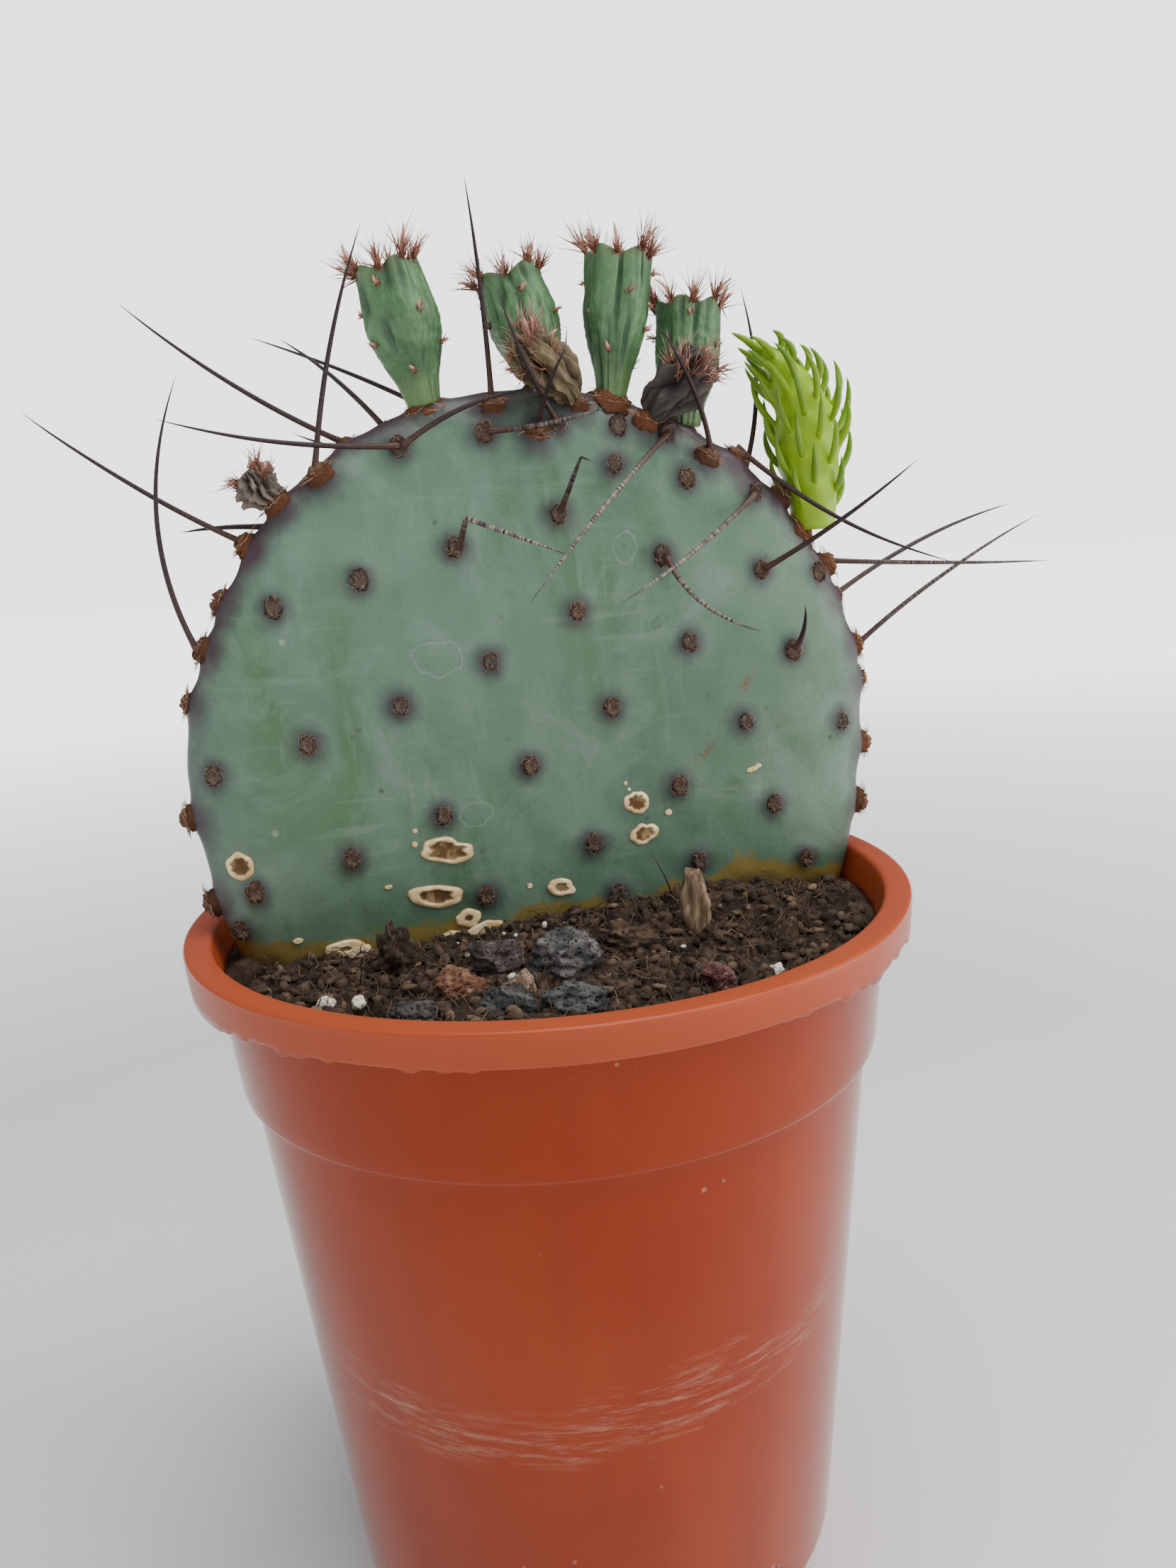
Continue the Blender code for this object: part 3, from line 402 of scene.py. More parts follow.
# The lip's lower edge carries a ragged flash, and the thin wall is very slightly out of round.
edge_noise = sum(np.sin(turn * k + 1.7 * k * k) / (1 + i) for i, k in enumerate((3, 7, 17, 41, 89)))
ragged = FLASH * np.clip(edge_noise - 0.15, 0, 1.0)
at_flash = outside & (np.abs(profile[:, 1] - (POT_HEIGHT - RIM_DROP)) < 0.0006)
at_flash &= profile[:, 0] > lip - WALL * 0.6
sway = 0.00025 * np.sin(2 * turn + 0.8) * (height / POT_HEIGHT) * (radius > foot)
pot_grid[..., 0] = (pressed + sway) * np.cos(turn)
pot_grid[..., 1] = (pressed + sway) * np.sin(turn)
pot_grid[..., 2] -= ragged * at_flash[:, None]
pot_grid[..., 2] += 0.00018 * np.sin(3 * turn + 0.4) * (height > step_z)

pot_plastic, tree, shader, place = finish("terracotta_polypropylene", specular=0.22)
ruler = wire(tree, "ShaderNodeSeparateXYZ", {"Vector": place}).outputs
grime = patchy(tree, place, 22.0, 0.42, 0.70)
# dark vertical streaks in the body colour: painted reflection, for the darker bands between the
# reflections that run down the glossy wall
painted_reflection_streaks = noise(tree, stretched(tree, place, (42, 42, 2)), 1.0, 2.0)
body = blend(tree, grime, (0.262, 0.028, 0.0025), (0.300, 0.038, 0.006))
body = blend(tree, between(tree, painted_reflection_streaks, 0.46, 0.56, 0.0, 0.28), body, (0.200, 0.017, 0.0015))
at_rim = between(tree, ruler["Z"], POT_HEIGHT - 0.0068, POT_HEIGHT - 0.0058)
body = blend(tree, times(tree, at_rim, 0.60), body, (0.410, 0.078, 0.030))
# a band of scuffs across the front, lower on the left, and dust that has dried on the wall
tilt = times(tree, ruler["X"], 0.07)
band_at = sums(tree, "SUBTRACT", sums(tree, "SUBTRACT", ruler["Z"], tilt), 0.079)
wander = between(tree, noise(tree, place, 26.0, 3.0), 0.2, 0.8, -0.009, 0.009)
band_gap = sums(tree, "ABSOLUTE", plus(tree, band_at, wander))
in_band = between(tree, band_gap, 0.0075, 0.0005)
in_front = between(tree, ruler["Y"], -0.020, -0.046)
scratches = noise(tree, stretched(tree, place, (70, 70, 700), (0, 0.10, 0)), 1.0, 7.0, 0.8)
scratches = between(tree, scratches, 0.50, 0.66)
scuffed = times(tree, times(tree, in_band, in_front), scratches)
flecks = wire(tree, "ShaderNodeTexVoronoi", {"Vector": place, "Scale": 210.0, "Randomness": 1.0})
fleck_size = between(tree, noise(tree, place, 75.0, 2.0), 0.55, 0.72, 0.0, 0.00075)
fleck_gap = sums(tree, "SUBTRACT", fleck_size, times(tree, flecks.outputs["Distance"], 0.0048))
dust = between(tree, fleck_gap, 0.0, 0.0002)
dusty = sums(tree, "MAXIMUM", times(tree, scuffed, 0.75), times(tree, dust, 0.45))
body = blend(tree, dusty, body, (0.50, 0.24, 0.17))
gloss = between(tree, noise(tree, place, 60.0, 4.0), 0.3, 0.7, 0.07, 0.12)
gloss = plus(tree, gloss, times(tree, at_rim, 0.22))
gloss = plus(tree, gloss, times(tree, dusty, 0.30))
mould = noise(tree, stretched(tree, place, (160, 160, 12)), 1.0, 2.0)
relief = plus(tree, times(tree, mould, 0.35), noise(tree, place, 900.0, 2.0))
relief = sums(tree, "SUBTRACT", relief, times(tree, scuffed, 1.5))
bumps = bumpy(tree, relief, 0.00006, 0.5)
give(tree, shader, Base_Color=body, Roughness=gloss, Normal=bumps)
pot = skin("nursery_pot", pot_grid[None], pot_plastic)
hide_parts("pot")


# ---- Soil -------------------------------------------------------------------------------------
# Dark fibrous peat that fills the pot to just under the rim. Its surface is clods, crumbs, flakes
# and root fibres, heaped a little against the right of the pad's front.

SOIL_LEVEL = 0.1494
SOIL_COLUMNS = 300
SOIL_ROWS = 96
SOIL_EDGE = 0.0634
SOIL_GAP = 0.001
CRUMBS = 3200
FLAKES = 420
FIBRES = 2300
YAW = np.radians(10)
PAD_ACROSS = np.array((np.cos(YAW), np.sin(YAW), 0.0))
PAD_OUT = np.array((np.sin(YAW), -np.cos(YAW), 0.0))
PAD_FOOT = np.array((0.0003, 0.0014, SOIL_LEVEL))


def ripple(points, size, seed, waves=9):
    """Smooth noise of about -1 to 1: a sum of plane waves near one size in random directions."""
    random = np.random.default_rng(seed)
    ways = random.normal(size=(waves, 3))
    ways /= np.linalg.norm(ways, axis=1)[:, None] * size * random.uniform(0.7, 1.4, (waves, 1))
    return np.sin(2 * np.pi * (points @ ways.T) + random.uniform(0, 9, waves)).sum(-1) / waves**0.5


def clods(points, seed):
    """Rounded lumps with creases between them: noise folded at zero, in three sizes."""
    lumps = (1 - np.abs(ripple(points, 0.0095, seed))) * 0.0016
    lumps += (1 - np.abs(ripple(points, 0.0042, seed + 1))) * 0.0010
    return lumps + ripple(points, 0.0018, seed + 2) * 0.00035


def soil_top(x, y):
    """The soil's height: its level, clods, and a heap against the pad's front on the right."""
    points = np.stack([x, y, np.zeros_like(x)], -1)
    across = (x - PAD_FOOT[0]) * PAD_ACROSS[0] + (y - PAD_FOOT[1]) * PAD_ACROSS[1]
    out = (x - PAD_FOOT[0]) * PAD_OUT[0] + (y - PAD_FOOT[1]) * PAD_OUT[1]
    heap = 0.0046 * np.exp(-(((across - 0.033) / 0.018) ** 2) - ((out - 0.011) / 0.010) ** 2)
    heap += 0.0030 * np.exp(-(((across - 0.002) / 0.020) ** 2) - ((out - 0.013) / 0.009) ** 2)
    at_wall = np.clip((0.0655 - np.hypot(x, y)) / 0.006, 0, 1)
    return SOIL_LEVEL - 0.0019 + (clods(points, 5) + heap) * at_wall


def tubes(paths, radii, sides):
    """Tubes along many paths at once: a ring square to the path at each of its points, and a pole
    at both ends. Paths are tubes, points and xyz, and radii are tubes and points."""
    along = np.gradient(paths, axis=1)
    along /= np.linalg.norm(along, axis=-1, keepdims=True) + 1e-12
    chord = paths[:, -1:] - paths[:, :1]
    steep = np.abs(chord[..., 2:]) > 0.8 * np.linalg.norm(chord, axis=-1, keepdims=True)
    guide = np.where(steep, (1.0, 0.0, 0.0), (0.0, 0.0, 1.0))
    across = np.cross(along, guide)
    across /= np.linalg.norm(across, axis=-1, keepdims=True) + 1e-12
    over = np.cross(across, along)
    turn = np.linspace(0, 2 * np.pi, sides, endpoint=False)[:, None]
    rings = across[:, :, None] * np.cos(turn) + over[:, :, None] * np.sin(turn)
    rings = paths[:, :, None] + rings * radii[:, :, None, None]
    ends = np.broadcast_to(paths[:, [0, -1], None], (len(paths), 2, sides, 3))
    return np.concatenate([ends[:, :1], rings, ends[:, 1:]], axis=1)


# the soil's side keeps inside the pot's wall, and inside the pressed faces of its recesses
over_arch = thick_top + ARCH_DEPTH
side = np.array([
    # height, and the radius of the pot's outer face there
    (POT_FLOOR + 0.0004, WALL + SOIL_GAP),
    (0.008, foot - 0.0045),
    (FOOT_HEIGHT, foot - 0.0005),
    (thick_top, wall_radius(ARCH_TOP) - ARCH_DEPTH),
    (over_arch, wall_radius(over_arch)),
    (step_z, wall_radius(step_z)),
    (0.140, band_radius(0.140)),
])
wall_z, wall_r = side[:, 0], side[:, 1] - WALL - SOIL_GAP
soil_r = np.r_[wall_r, np.linspace(SOIL_EDGE, 0.0, SOIL_ROWS)]
soil_grid = circles(len(soil_r), SOIL_COLUMNS, soil_r, np.r_[wall_z, np.zeros(SOIL_ROWS)])
top = soil_grid[len(wall_z):]
top[..., 2] = soil_top(top[..., 0], top[..., 1])

peat, tree, shader, place = finish("fibrous_peat", specular=0.25, rough=0.95)
crumbs = patchy(tree, place, 260.0, 0.38, 0.66)
earth = blend(tree, crumbs, (0.016, 0.010, 0.007), (0.075, 0.048, 0.032))
threads = noise(tree, stretched(tree, place, (900, 160, 300), (0.3, 0.2, 0.6)), 1.0, 5.0, 0.7)
earth = blend(tree, between(tree, threads, 0.60, 0.72, 0, 0.8), earth, (0.16, 0.105, 0.068))
give(tree, shader, Base_Color=earth, Normal=toothed(tree, place, 700.0, 0.0009, 1.0))
soil = skin("soil_body", soil_grid[None], peat)
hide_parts("soil")


def strewn(count, seed, reach=0.0615):
    """Random places on the soil, spread evenly by area and kept off the pad and the stones."""
    random = np.random.default_rng(seed)
    radius, turn = reach * np.sqrt(random.uniform(0, 1, 2 * count)), random.uniform(0, 7, 2 * count)
    x, y = radius * np.cos(turn), radius * np.sin(turn)
    out = (x - PAD_FOOT[0]) * PAD_OUT[0] + (y - PAD_FOOT[1]) * PAD_OUT[1]
    bare = np.abs(out) > 0.0068
    for stone in (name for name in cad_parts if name.startswith("stone_")):
        low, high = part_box(stone)
        off_x = (2 * x - low[0] - high[0]) / (high[0] - low[0])
        off_y = (2 * y - low[1] - high[1]) / (high[1] - low[1])
        bare &= np.hypot(off_x, off_y) > 0.92
    kept = np.flatnonzero(bare)[:count]
    return np.stack([x[kept], y[kept], soil_top(x[kept], y[kept])], -1), random


def ball_of(rows, cols):
    """A ball of radius 1 as rows of points from pole to pole."""
    polar = np.linspace(0, np.pi, rows)[:, None]
    turn = np.linspace(0, 2 * np.pi, cols, endpoint=False) + 0 * polar
    out = np.sin(polar)
    return np.stack([out * np.cos(turn), out * np.sin(turn), np.cos(polar) + 0 * turn], -1)


def lumps(centres, sizes, random, rows=4, cols=6, rough=0.28):
    """Small closed lumps: balls squashed by three sizes each, with each ring's reach varied."""
    ball = ball_of(rows + 2, cols)
    reach = 1 + rough * random.uniform(-1, 1, (len(centres), rows + 2, cols, 1))
    spin = random.uniform(0, 2 * np.pi, len(centres))[:, None, None]
    shape = ball * reach * sizes[:, None, None]
    x = shape[..., 0] * np.cos(spin) - shape[..., 1] * np.sin(spin)
    y = shape[..., 0] * np.sin(spin) + shape[..., 1] * np.cos(spin)
    return np.stack([x, y, shape[..., 2]], -1) + centres[:, None, None]


litter, tree, shader, place = finish("peat_litter", specular=0.25, rough=0.95)
age = ink(tree, "tone")
dark = blend(tree, between(tree, age, 0, 0.6), (0.020, 0.012, 0.008), (0.090, 0.058, 0.038))
earth = blend(tree, between(tree, age, 0.7, 1.0), dark, (0.27, 0.185, 0.115))
grain = noise(tree, place, 1500.0, 3.0)
earth = blend(tree, between(tree, grain, 0.4, 0.7, 0, 0.5), earth, (0.035, 0.021, 0.014))
give(tree, shader, Base_Color=earth, Normal=toothed(tree, place, 2200.0, 0.0003, 0.8))

spots, random = strewn(CRUMBS, 21)
grades = random.uniform(0.0003, 0.0013, (len(spots), 1)) * random.uniform(0.6, 1.3, (len(spots), 3))
tones = (random.uniform(0, 0.85, len(spots)) ** 1.3)[:, None, None]
crumb_piece = skin("peat_crumbs", lumps(spots, grades, random, 3, 5), litter, {"tone": tones})

spots, random = strewn(FLAKES, 22)
grades = random.uniform(0.0010, 0.0022, (len(spots), 1)) * (1.0, 0.5, 0.3)
tones = random.uniform(0.1, 0.9, len(spots))[:, None, None]
flake_grid = lumps(spots + (0, 0, 0.0003), grades, random, 3, 6)
flake_piece = skin("bark_flakes", flake_grid, litter, {"tone": tones})


def fibres(count, seed, shortest, longest, rise, thick):
    """Fine roots that lie on the soil: each bends as an arc in plan and lifts in the middle."""
    spots, random = strewn(count, seed, 0.058)
    count = len(spots)
    t = np.linspace(0, 1, 6)[None, :, None]
    heading = random.uniform(0, 2 * np.pi, (count, 1))
    length = random.uniform(shortest, longest, (count, 1)) * random.uniform(0.5, 1, (count, 1))
    bend = heading + random.uniform(-1.6, 1.6, (count, 1)) * t[..., 0]
    steps = np.stack([np.cos(bend), np.sin(bend)], -1) * length[..., None] / 5
    plan = spots[:, None, :2] + np.cumsum(steps, axis=1)
    lift = 4 * t * (1 - t) * random.uniform(0, rise, (count, 1, 1)) + 0.0003
    inside = 0.0605 / np.maximum(np.linalg.norm(plan, axis=-1, keepdims=True), 0.0605)
    plan = plan * inside
    ground = soil_top(plan[..., 0], plan[..., 1])[..., None]
    paths = np.concatenate([plan, ground + lift], -1)
    radii = thick * random.uniform(0.5, 1.2, (count, 1)) * (1 - 0.6 * t[..., 0])
    return tubes(paths, radii, 3), random.uniform(0.25, 1.0, (count, 1, 1))


fibre_grid, tones = fibres(FIBRES, 23, 0.0035, 0.010, 0.0022, 0.00012)
fibre_piece = skin("root_fibres", fibre_grid, litter, {"tone": tones})


# ---- Lava stones ------------------------------------------------------------------------------
# Lumps of lava gravel half sunk in the soil: grey, purple-grey, rust and tan, all of them full of
# small gas pores.

STONE_LOOKS = {
    # colour, paler colour on high spots, pore size
    "stone_grey": ((0.046, 0.044, 0.043), (0.160, 0.148, 0.138), 1.0),
    "stone_purple": ((0.046, 0.032, 0.030), (0.140, 0.105, 0.096), 0.8),
    "stone_rust": ((0.120, 0.048, 0.028), (0.290, 0.160, 0.100), 0.6),
    "stone_tan": ((0.115, 0.066, 0.042), (0.290, 0.200, 0.135), 0.5),
    "stone_dark_middle": ((0.028, 0.027, 0.026), (0.100, 0.095, 0.088), 0.9),
    "stone_dark_right": ((0.030, 0.031, 0.031), (0.105, 0.104, 0.098), 1.0),
    "stone_dark_left": ((0.030, 0.028, 0.027), (0.095, 0.085, 0.075), 0.8),
    "stone_red": ((0.095, 0.036, 0.032), (0.220, 0.110, 0.095), 0.6),
    "stone_back": ((0.070, 0.050, 0.045), (0.180, 0.130, 0.110), 0.8),
}
STONE_GROWTH = 1.10
STONE_LIFT = 0.0007


def boulder(node, seed, rough, rows=56, cols=80, grow=1.0):
    """A lump in a CAD piece's own box: a ball squashed to the box, cut by a few flat faces, then
    roughened by two sizes of noise. A flat face pulls in whatever stands beyond its plane."""
    low, high = (np.array(corner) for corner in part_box(node))
    ball = ball_of(rows, cols)
    random = np.random.default_rng(seed)
    ways = random.normal(size=(9, 3))
    ways /= np.linalg.norm(ways, axis=1)[:, None]
    beyond = np.maximum(ball @ ways.T - random.uniform(0.72, 0.92, 9), 0)
    shape = ball - np.einsum("rck,kd->rcd", beyond * 0.85, ways)
    reach = 1.03 + rough * (0.10 * ripple(ball, 0.9, seed) + 0.055 * ripple(ball, 0.33, seed + 1))
    pits = np.maximum(ripple(ball, 0.17, seed + 2) - 0.55, 0)
    shape = shape * (reach - rough * 0.11 * pits)[..., None]
    return (low + high) / 2 + shape * (high - low) / 2 * grow


for seed, (node, (deep, pale, pore)) in enumerate(STONE_LOOKS.items(), 51):
    lava, tree, shader, place = finish(node + "_lava", specular=0.3, rough=0.9)
    high_spots = patchy(tree, place, 380.0, 0.44, 0.62)
    rock = blend(tree, high_spots, deep, pale)
    cells = wire(tree, "ShaderNodeTexVoronoi", {"Vector": place, "Scale": 1150.0 / pore})
    # the pores are darkened to a third of the stone's colour: painted shade inside each gas pore
    hole = between(tree, cells.outputs["Distance"], 0.16, 0.34)
    rock = blend(tree, hole, 0.35 * np.array(deep), rock)
    height = plus(tree, times(tree, hole, 0.9), noise(tree, place, 1300.0, 5.0, 0.7))
    bumps = bumpy(tree, height, 0.00045, 0.9)
    give(tree, shader, Base_Color=rock, Normal=bumps)
    lump = boulder(node, seed, 1.0, grow=STONE_GROWTH) + (0, 0, STONE_LIFT)
    stone = skin(node.replace("stone", "lava"), lump[None], lava)
    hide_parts(node)


# ---- Perlite ----------------------------------------------------------------------------------
# White grains of puffed volcanic glass, chalky and slightly soiled.

chalk, tree, shader, place = finish("perlite_chalk", specular=0.3, rough=0.85)
soiled = patchy(tree, place, 420.0, 0.50, 0.72)
white = blend(tree, soiled, (0.66, 0.62, 0.54), (0.28, 0.21, 0.15))
give(tree, shader, Base_Color=white, Normal=toothed(tree, place, 1800.0, 0.0003, 0.7))
for seed, node in enumerate(("perlite_left", "perlite_middle", "perlite_right"), 71):
    grain = skin(node + "_grain", boulder(node, seed, 1.4, 24, 36, 0.86)[None], chalk)
    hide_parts(node)

spots, random = strewn(46, 24, 0.060)
spots = spots[spots[:, 1] < 0.05]
grades = random.uniform(0.00035, 0.0009, (len(spots), 1)) * random.uniform(0.7, 1.2, (len(spots), 3))
specks = skin("perlite_crumbs", lumps(spots + (0, 0, 0.0003), grades, random, 4, 7, 0.2), chalk)


# ---- Bark, peat clump and dead leaf -----------------------------------------------------------
# A chunk of composted bark, a clump of matted peat, and one curled dead leaf stuck in the soil.

bark, tree, shader, place = finish("composted_bark", specular=0.25, rough=0.92)
layers = noise(tree, stretched(tree, place, (160, 240, 900), (0.5, 0.3, 0)), 1.0, 5.0, 0.7)
wood = blend(tree, between(tree, layers, 0.40, 0.66), (0.022, 0.013, 0.009), (0.120, 0.072, 0.045))
bumps = bumpy(tree, layers, 0.0012, 1.0)
give(tree, shader, Base_Color=wood, Normal=bumps)
chunk = skin("bark_chunk", boulder("bark_piece", 81, 1.6)[None], bark)
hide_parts("bark_piece")

clump = skin("peat_clump_body", boulder("peat_clump", 82, 1.8)[None], peat)
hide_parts("peat_clump")

LEAF_STEPS = 26
LEAF_AROUND = 40
leaf_low, leaf_high = (np.array(corner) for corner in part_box("dead_leaf"))
t = np.linspace(0, 1, LEAF_STEPS)[:, None]
turn = np.linspace(0, 2 * np.pi, LEAF_AROUND, endpoint=False)[None]
# a thin ring folded round into a trough: the outer side goes one way and the inner comes back
fold = np.abs(turn - np.pi) / np.pi * 2 - 1
inner = np.where(turn < np.pi, 1.0, 0.0)
reach = (leaf_high[0] - leaf_low[0]) / 2 * (0.45 + 0.55 * np.sin(np.pi * (0.12 + 0.80 * t)))
curl = fold * (1.35 + 0.5 * t)
thin = 1 - 0.12 * inner
ruffle = 1 + 0.10 * np.sin(9 * t + 4 * fold) + 0.06 * np.sin(23 * t - 7 * fold)
leaf_x = (leaf_low[0] + leaf_high[0]) / 2 + reach * np.sin(curl) * thin * ruffle
leaf_y = leaf_high[1] - 0.0015 - reach * (np.cos(curl) * thin * ruffle) * 0.9 - 0.0016 * (1 - t)
leaf_z = leaf_low[2] + (leaf_high[2] - leaf_low[2]) * t + 0.0006 * np.sin(5 * fold) * t
leaf_grid = np.stack(np.broadcast_arrays(leaf_x, leaf_y, leaf_z), -1)
leaf_paper, tree, shader, place = finish("dead_leaf_paper", specular=0.3, rough=0.8)
veins = noise(tree, stretched(tree, place, (700, 700, 90)), 1.0, 4.0, 0.65)
dry = blend(tree, between(tree, veins, 0.38, 0.64), (0.085, 0.050, 0.028), (0.30, 0.205, 0.125))
bumps = bumpy(tree, veins, 0.0005, 0.8)
give(tree, shader, Base_Color=dry, Normal=bumps)
leaf = skin("dead_leaf_curl", leaf_grid[None], leaf_paper)
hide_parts("dead_leaf")


# ---- Pad --------------------------------------------------------------------------------------
# One flat stem segment, grown as one piece, with a waxy blue-green skin. The skin is rubbed
# greener in places, purple round each woolly cushion and along the edge, and stained at the soil.

PAD_RADIUS = 0.0668
PAD_CENTRE = 0.034
PAD_ROOT_STRETCH = 1.33
PAD_THICKNESS = 0.0140
PAD_COLUMNS = 440
CUSHION_ROWS = [
    # first, middle and last place across and up the pad, and how many
    ((-0.022, 0.0915), (0.007, 0.0937), (0.028, 0.0915), 5),
    ((0.017, 0.0863), (0.031, 0.083), (0.045, 0.0795), 3),
    ((-0.047, 0.065), (-0.023, 0.071), (0.0055, 0.078), 4),
    ((-0.061, 0.036), (-0.0180, 0.0488), (0.025, 0.069), 6),
    ((-0.0565, 0.0135), (-0.0035, 0.032), (0.045, 0.065), 7),
    ((-0.014, 0.0075), (0.0335, 0.030), (0.058, 0.0635), 6),
    ((0.012, 0.0045), (0.0375, 0.0130), (0.0615, 0.0335), 4),
    ((-0.060, 0.006), (-0.060, 0.006), (-0.060, 0.006), 1),
    ((0.0525, 0.0060), (0.0525, 0.0060), (0.0525, 0.0060), 1),
]
EDGE_CUSHIONS = [
    # clock angle on the edge in degrees, millimetres in front of the pad's middle plane
    (-105, 0), (-94, 0), (-77, 0), (-68, 1), (-60, -1), (-50, 0), (-46, -3), (-42, 1.5), (-34, 3),
    (-28, -2), (-21, -3), (-14, 0), (-9, -4.5), (-4, 3.5), (3, 5.2), (5, -1), (10, 3.5), (16, 0),
    (22, 3.5), (29, -1), (34, 4), (39, 1), (43, -3), (49, 1), (56, 0), (63, 1), (69, -1.5),
    (78, 0.5), (84, 0), (94, 0), (102, 0),
]
BACK_SPREAD = 0.94


def on_pad(across, up, out):
    """Places in the shared frame from places across the pad, up it, and out of its front."""
    across, up, out = across[..., None], up[..., None], out[..., None]
    return PAD_FOOT + across * PAD_ACROSS + up * (0, 0, 1) + out * PAD_OUT


def pad_reach(clock):
    """The outline's distance from the pad's centre: a circle, wider on the right, and flattened
    at the left shoulder. The root's stretch is left out."""
    flat = 0.030 * np.exp(-(((clock + np.radians(63)) / np.radians(17)) ** 2))
    return PAD_RADIUS * (1 + 0.012 * np.sin(clock) - flat)


def pad_place(clock, share, side):
    """A place on the skin: at a clock angle, at a share of the way to the outline, on the front
    (1) or back (-1). Half the thickness falls off as the root of one less the sixth power."""
    reach = pad_reach(clock) * share
    up = reach * np.cos(clock) * np.where(np.cos(clock) > 0, 1.0, PAD_ROOT_STRETCH)
    out = side * PAD_THICKNESS / 2 * np.sqrt(np.maximum(1 - share**6, 0))
    return reach * np.sin(clock), PAD_CENTRE + up, out


def face_depth(across, up):
    """Half the pad's thickness at a place on its face."""
    rise = up - PAD_CENTRE
    rise = rise / np.where(rise > 0, 1.0, PAD_ROOT_STRETCH)
    share = np.minimum(np.hypot(across, rise) / pad_reach(np.arctan2(across, rise)), 0.999)
    return PAD_THICKNESS / 2 * np.sqrt(1 - share**6)


face_places = []
for first, middle, last, count in CUSHION_ROWS:
    t = np.linspace(0, 1, count)[:, None] if count > 1 else np.zeros((1, 1))
    handle = 2 * np.array(middle) - (np.array(first) + last) / 2
    face_places.append((1 - t) ** 2 * first + 2 * t * (1 - t) * handle + t * t * last)
face_places = np.vstack(face_places)
front_u, front_v = face_places.T
back_u, back_v = -front_u * BACK_SPREAD, PAD_CENTRE + (front_v - PAD_CENTRE) * BACK_SPREAD
clock, offset = np.array(EDGE_CUSHIONS).T
clock, offset = np.radians(clock), offset * 0.001
lean_out = 2 * np.abs(offset) / PAD_THICKNESS
edge_u, edge_v, _ = pad_place(clock, (1 - lean_out**2) ** (1 / 6), 1)
cushion_at = np.concatenate([
    np.stack([front_u, front_v, face_depth(front_u, front_v)], -1),
    np.stack([back_u, back_v, -face_depth(back_u, back_v)], -1),
    np.stack([edge_u, edge_v, offset], -1),
])
steep = lean_out**2
edge_way = [np.sin(clock) * (1 - steep), np.cos(clock) * (1 - steep), np.sign(offset) * steep]
cushion_way = np.concatenate([
    np.tile((0.0, 0, 1), (len(front_u), 1)),
    np.tile((0.0, 0, -1), (len(front_u), 1)),
    np.stack(edge_way, -1),
])
cushion_way /= np.linalg.norm(cushion_way, axis=1)[:, None]
on_edge = np.arange(len(cushion_at)) >= 2 * len(front_u)

face_share = np.linspace(0, 0.86, 62)
edge_share = np.sin(np.linspace(np.arcsin(0.86**3), np.pi / 2, 27)[1:]) ** (1 / 3)
shares = np.r_[face_share, edge_share]
share = np.r_[shares, shares[-2::-1]][:, None]
side = np.r_[np.ones(len(shares)), -np.ones(len(shares) - 1)][:, None]
clock = np.linspace(-np.pi, np.pi, PAD_COLUMNS, endpoint=False)[None]
pad_u, pad_v, pad_w = np.broadcast_arrays(*pad_place(clock, share, side))
pad_points = np.stack([pad_u, pad_v, pad_w], -1)
gap = np.linalg.norm(pad_points[:, :, None] - cushion_at, axis=-1)
nearest = gap.argmin(-1)
gap = gap.min(-1)
# the skin swells under each cushion, more on the edge, and undulates a little all over
swell = np.where(on_edge[nearest], 0.0011, 0.0006) * np.exp(-((gap / 0.0031) ** 2))
slow = 0.00022 * ripple(pad_points, 0.030, 31) + 0.00007 * ripple(pad_points, 0.009, 32)
out_way = np.gradient(pad_points, axis=0)
round_way = np.roll(pad_points, -1, 1) - np.roll(pad_points, 1, 1)
normal = np.cross(round_way, out_way)
length = np.linalg.norm(normal, axis=-1, keepdims=True)
normal = np.where(length > 1e-12, normal / np.maximum(length, 1e-12), side[..., None] * (0, 0, 1.0))
normal *= np.sign((normal * (pad_points - (0, PAD_CENTRE, 0))).sum(-1, keepdims=True))
pad_points = pad_points + normal * (swell + slow)[..., None]
pad_grid = on_pad(pad_points[..., 0], pad_points[..., 1], pad_points[..., 2])


# marks on the front, each by its place across and up, half its width and height, and its turn
DROP_RINGS = [
    (-0.019, 0.0536, 0.0044, 0.0032, 0), (0.0232, 0.0565, 0.0016, 0.0015, 0),
    (-0.0145, 0.0235, 0.0030, 0.0022, 0), (0.018, 0.071, 0.0022, 0.0030, 0),
]
SCRAPES = [(0.0395, 0.0415, 0.0062, 0.0012, 0.95), (0.031, 0.030, 0.0052, 0.0009, 0.7)]
RUBBED = [
    (-0.030, 0.030, 0.022, 0.030, 0.5), (0.000, 0.080, 0.022, 0.010, 0),
    (-0.045, 0.048, 0.014, 0.020, 0), (0.038, 0.024, 0.016, 0.008, 0.6),
    (0.012, 0.058, 0.012, 0.022, 0.3),
]


def near_marks(marks):
    """How near each point of the skin is to a mark: 1 at its middle, 0 at its outline."""
    near = []
    for across, up, wide, high, tilt in marks:
        du, dv = pad_u - across, pad_v - up
        along = du * np.cos(tilt) + dv * np.sin(tilt)
        over = dv * np.cos(tilt) - du * np.sin(tilt)
        near.append(np.where(pad_w > 0, 1 - np.hypot(along / wide, over / high), -9.0))
    return np.maximum.reduce(near)


pad_values = {
    "halo": np.exp(-((gap / np.where(on_edge[nearest], 0.0046, 0.0035)) ** 2)),
    "edge": np.clip((share - 0.80) / 0.20, 0, 1) + 0 * pad_u,
    "crown": np.clip((pad_v - 0.045) / 0.05, 0, 1),
    "above_soil": pad_v * 1000
    - 5.0 * np.exp(-(((pad_u - 0.040) / 0.013) ** 2)) - 1.6 * np.exp(-(((pad_u - 0.004) / 0.010) ** 2)),
    "ring": near_marks(DROP_RINGS),
    "scrape": near_marks(SCRAPES),
    "rubbed": near_marks(RUBBED),
}

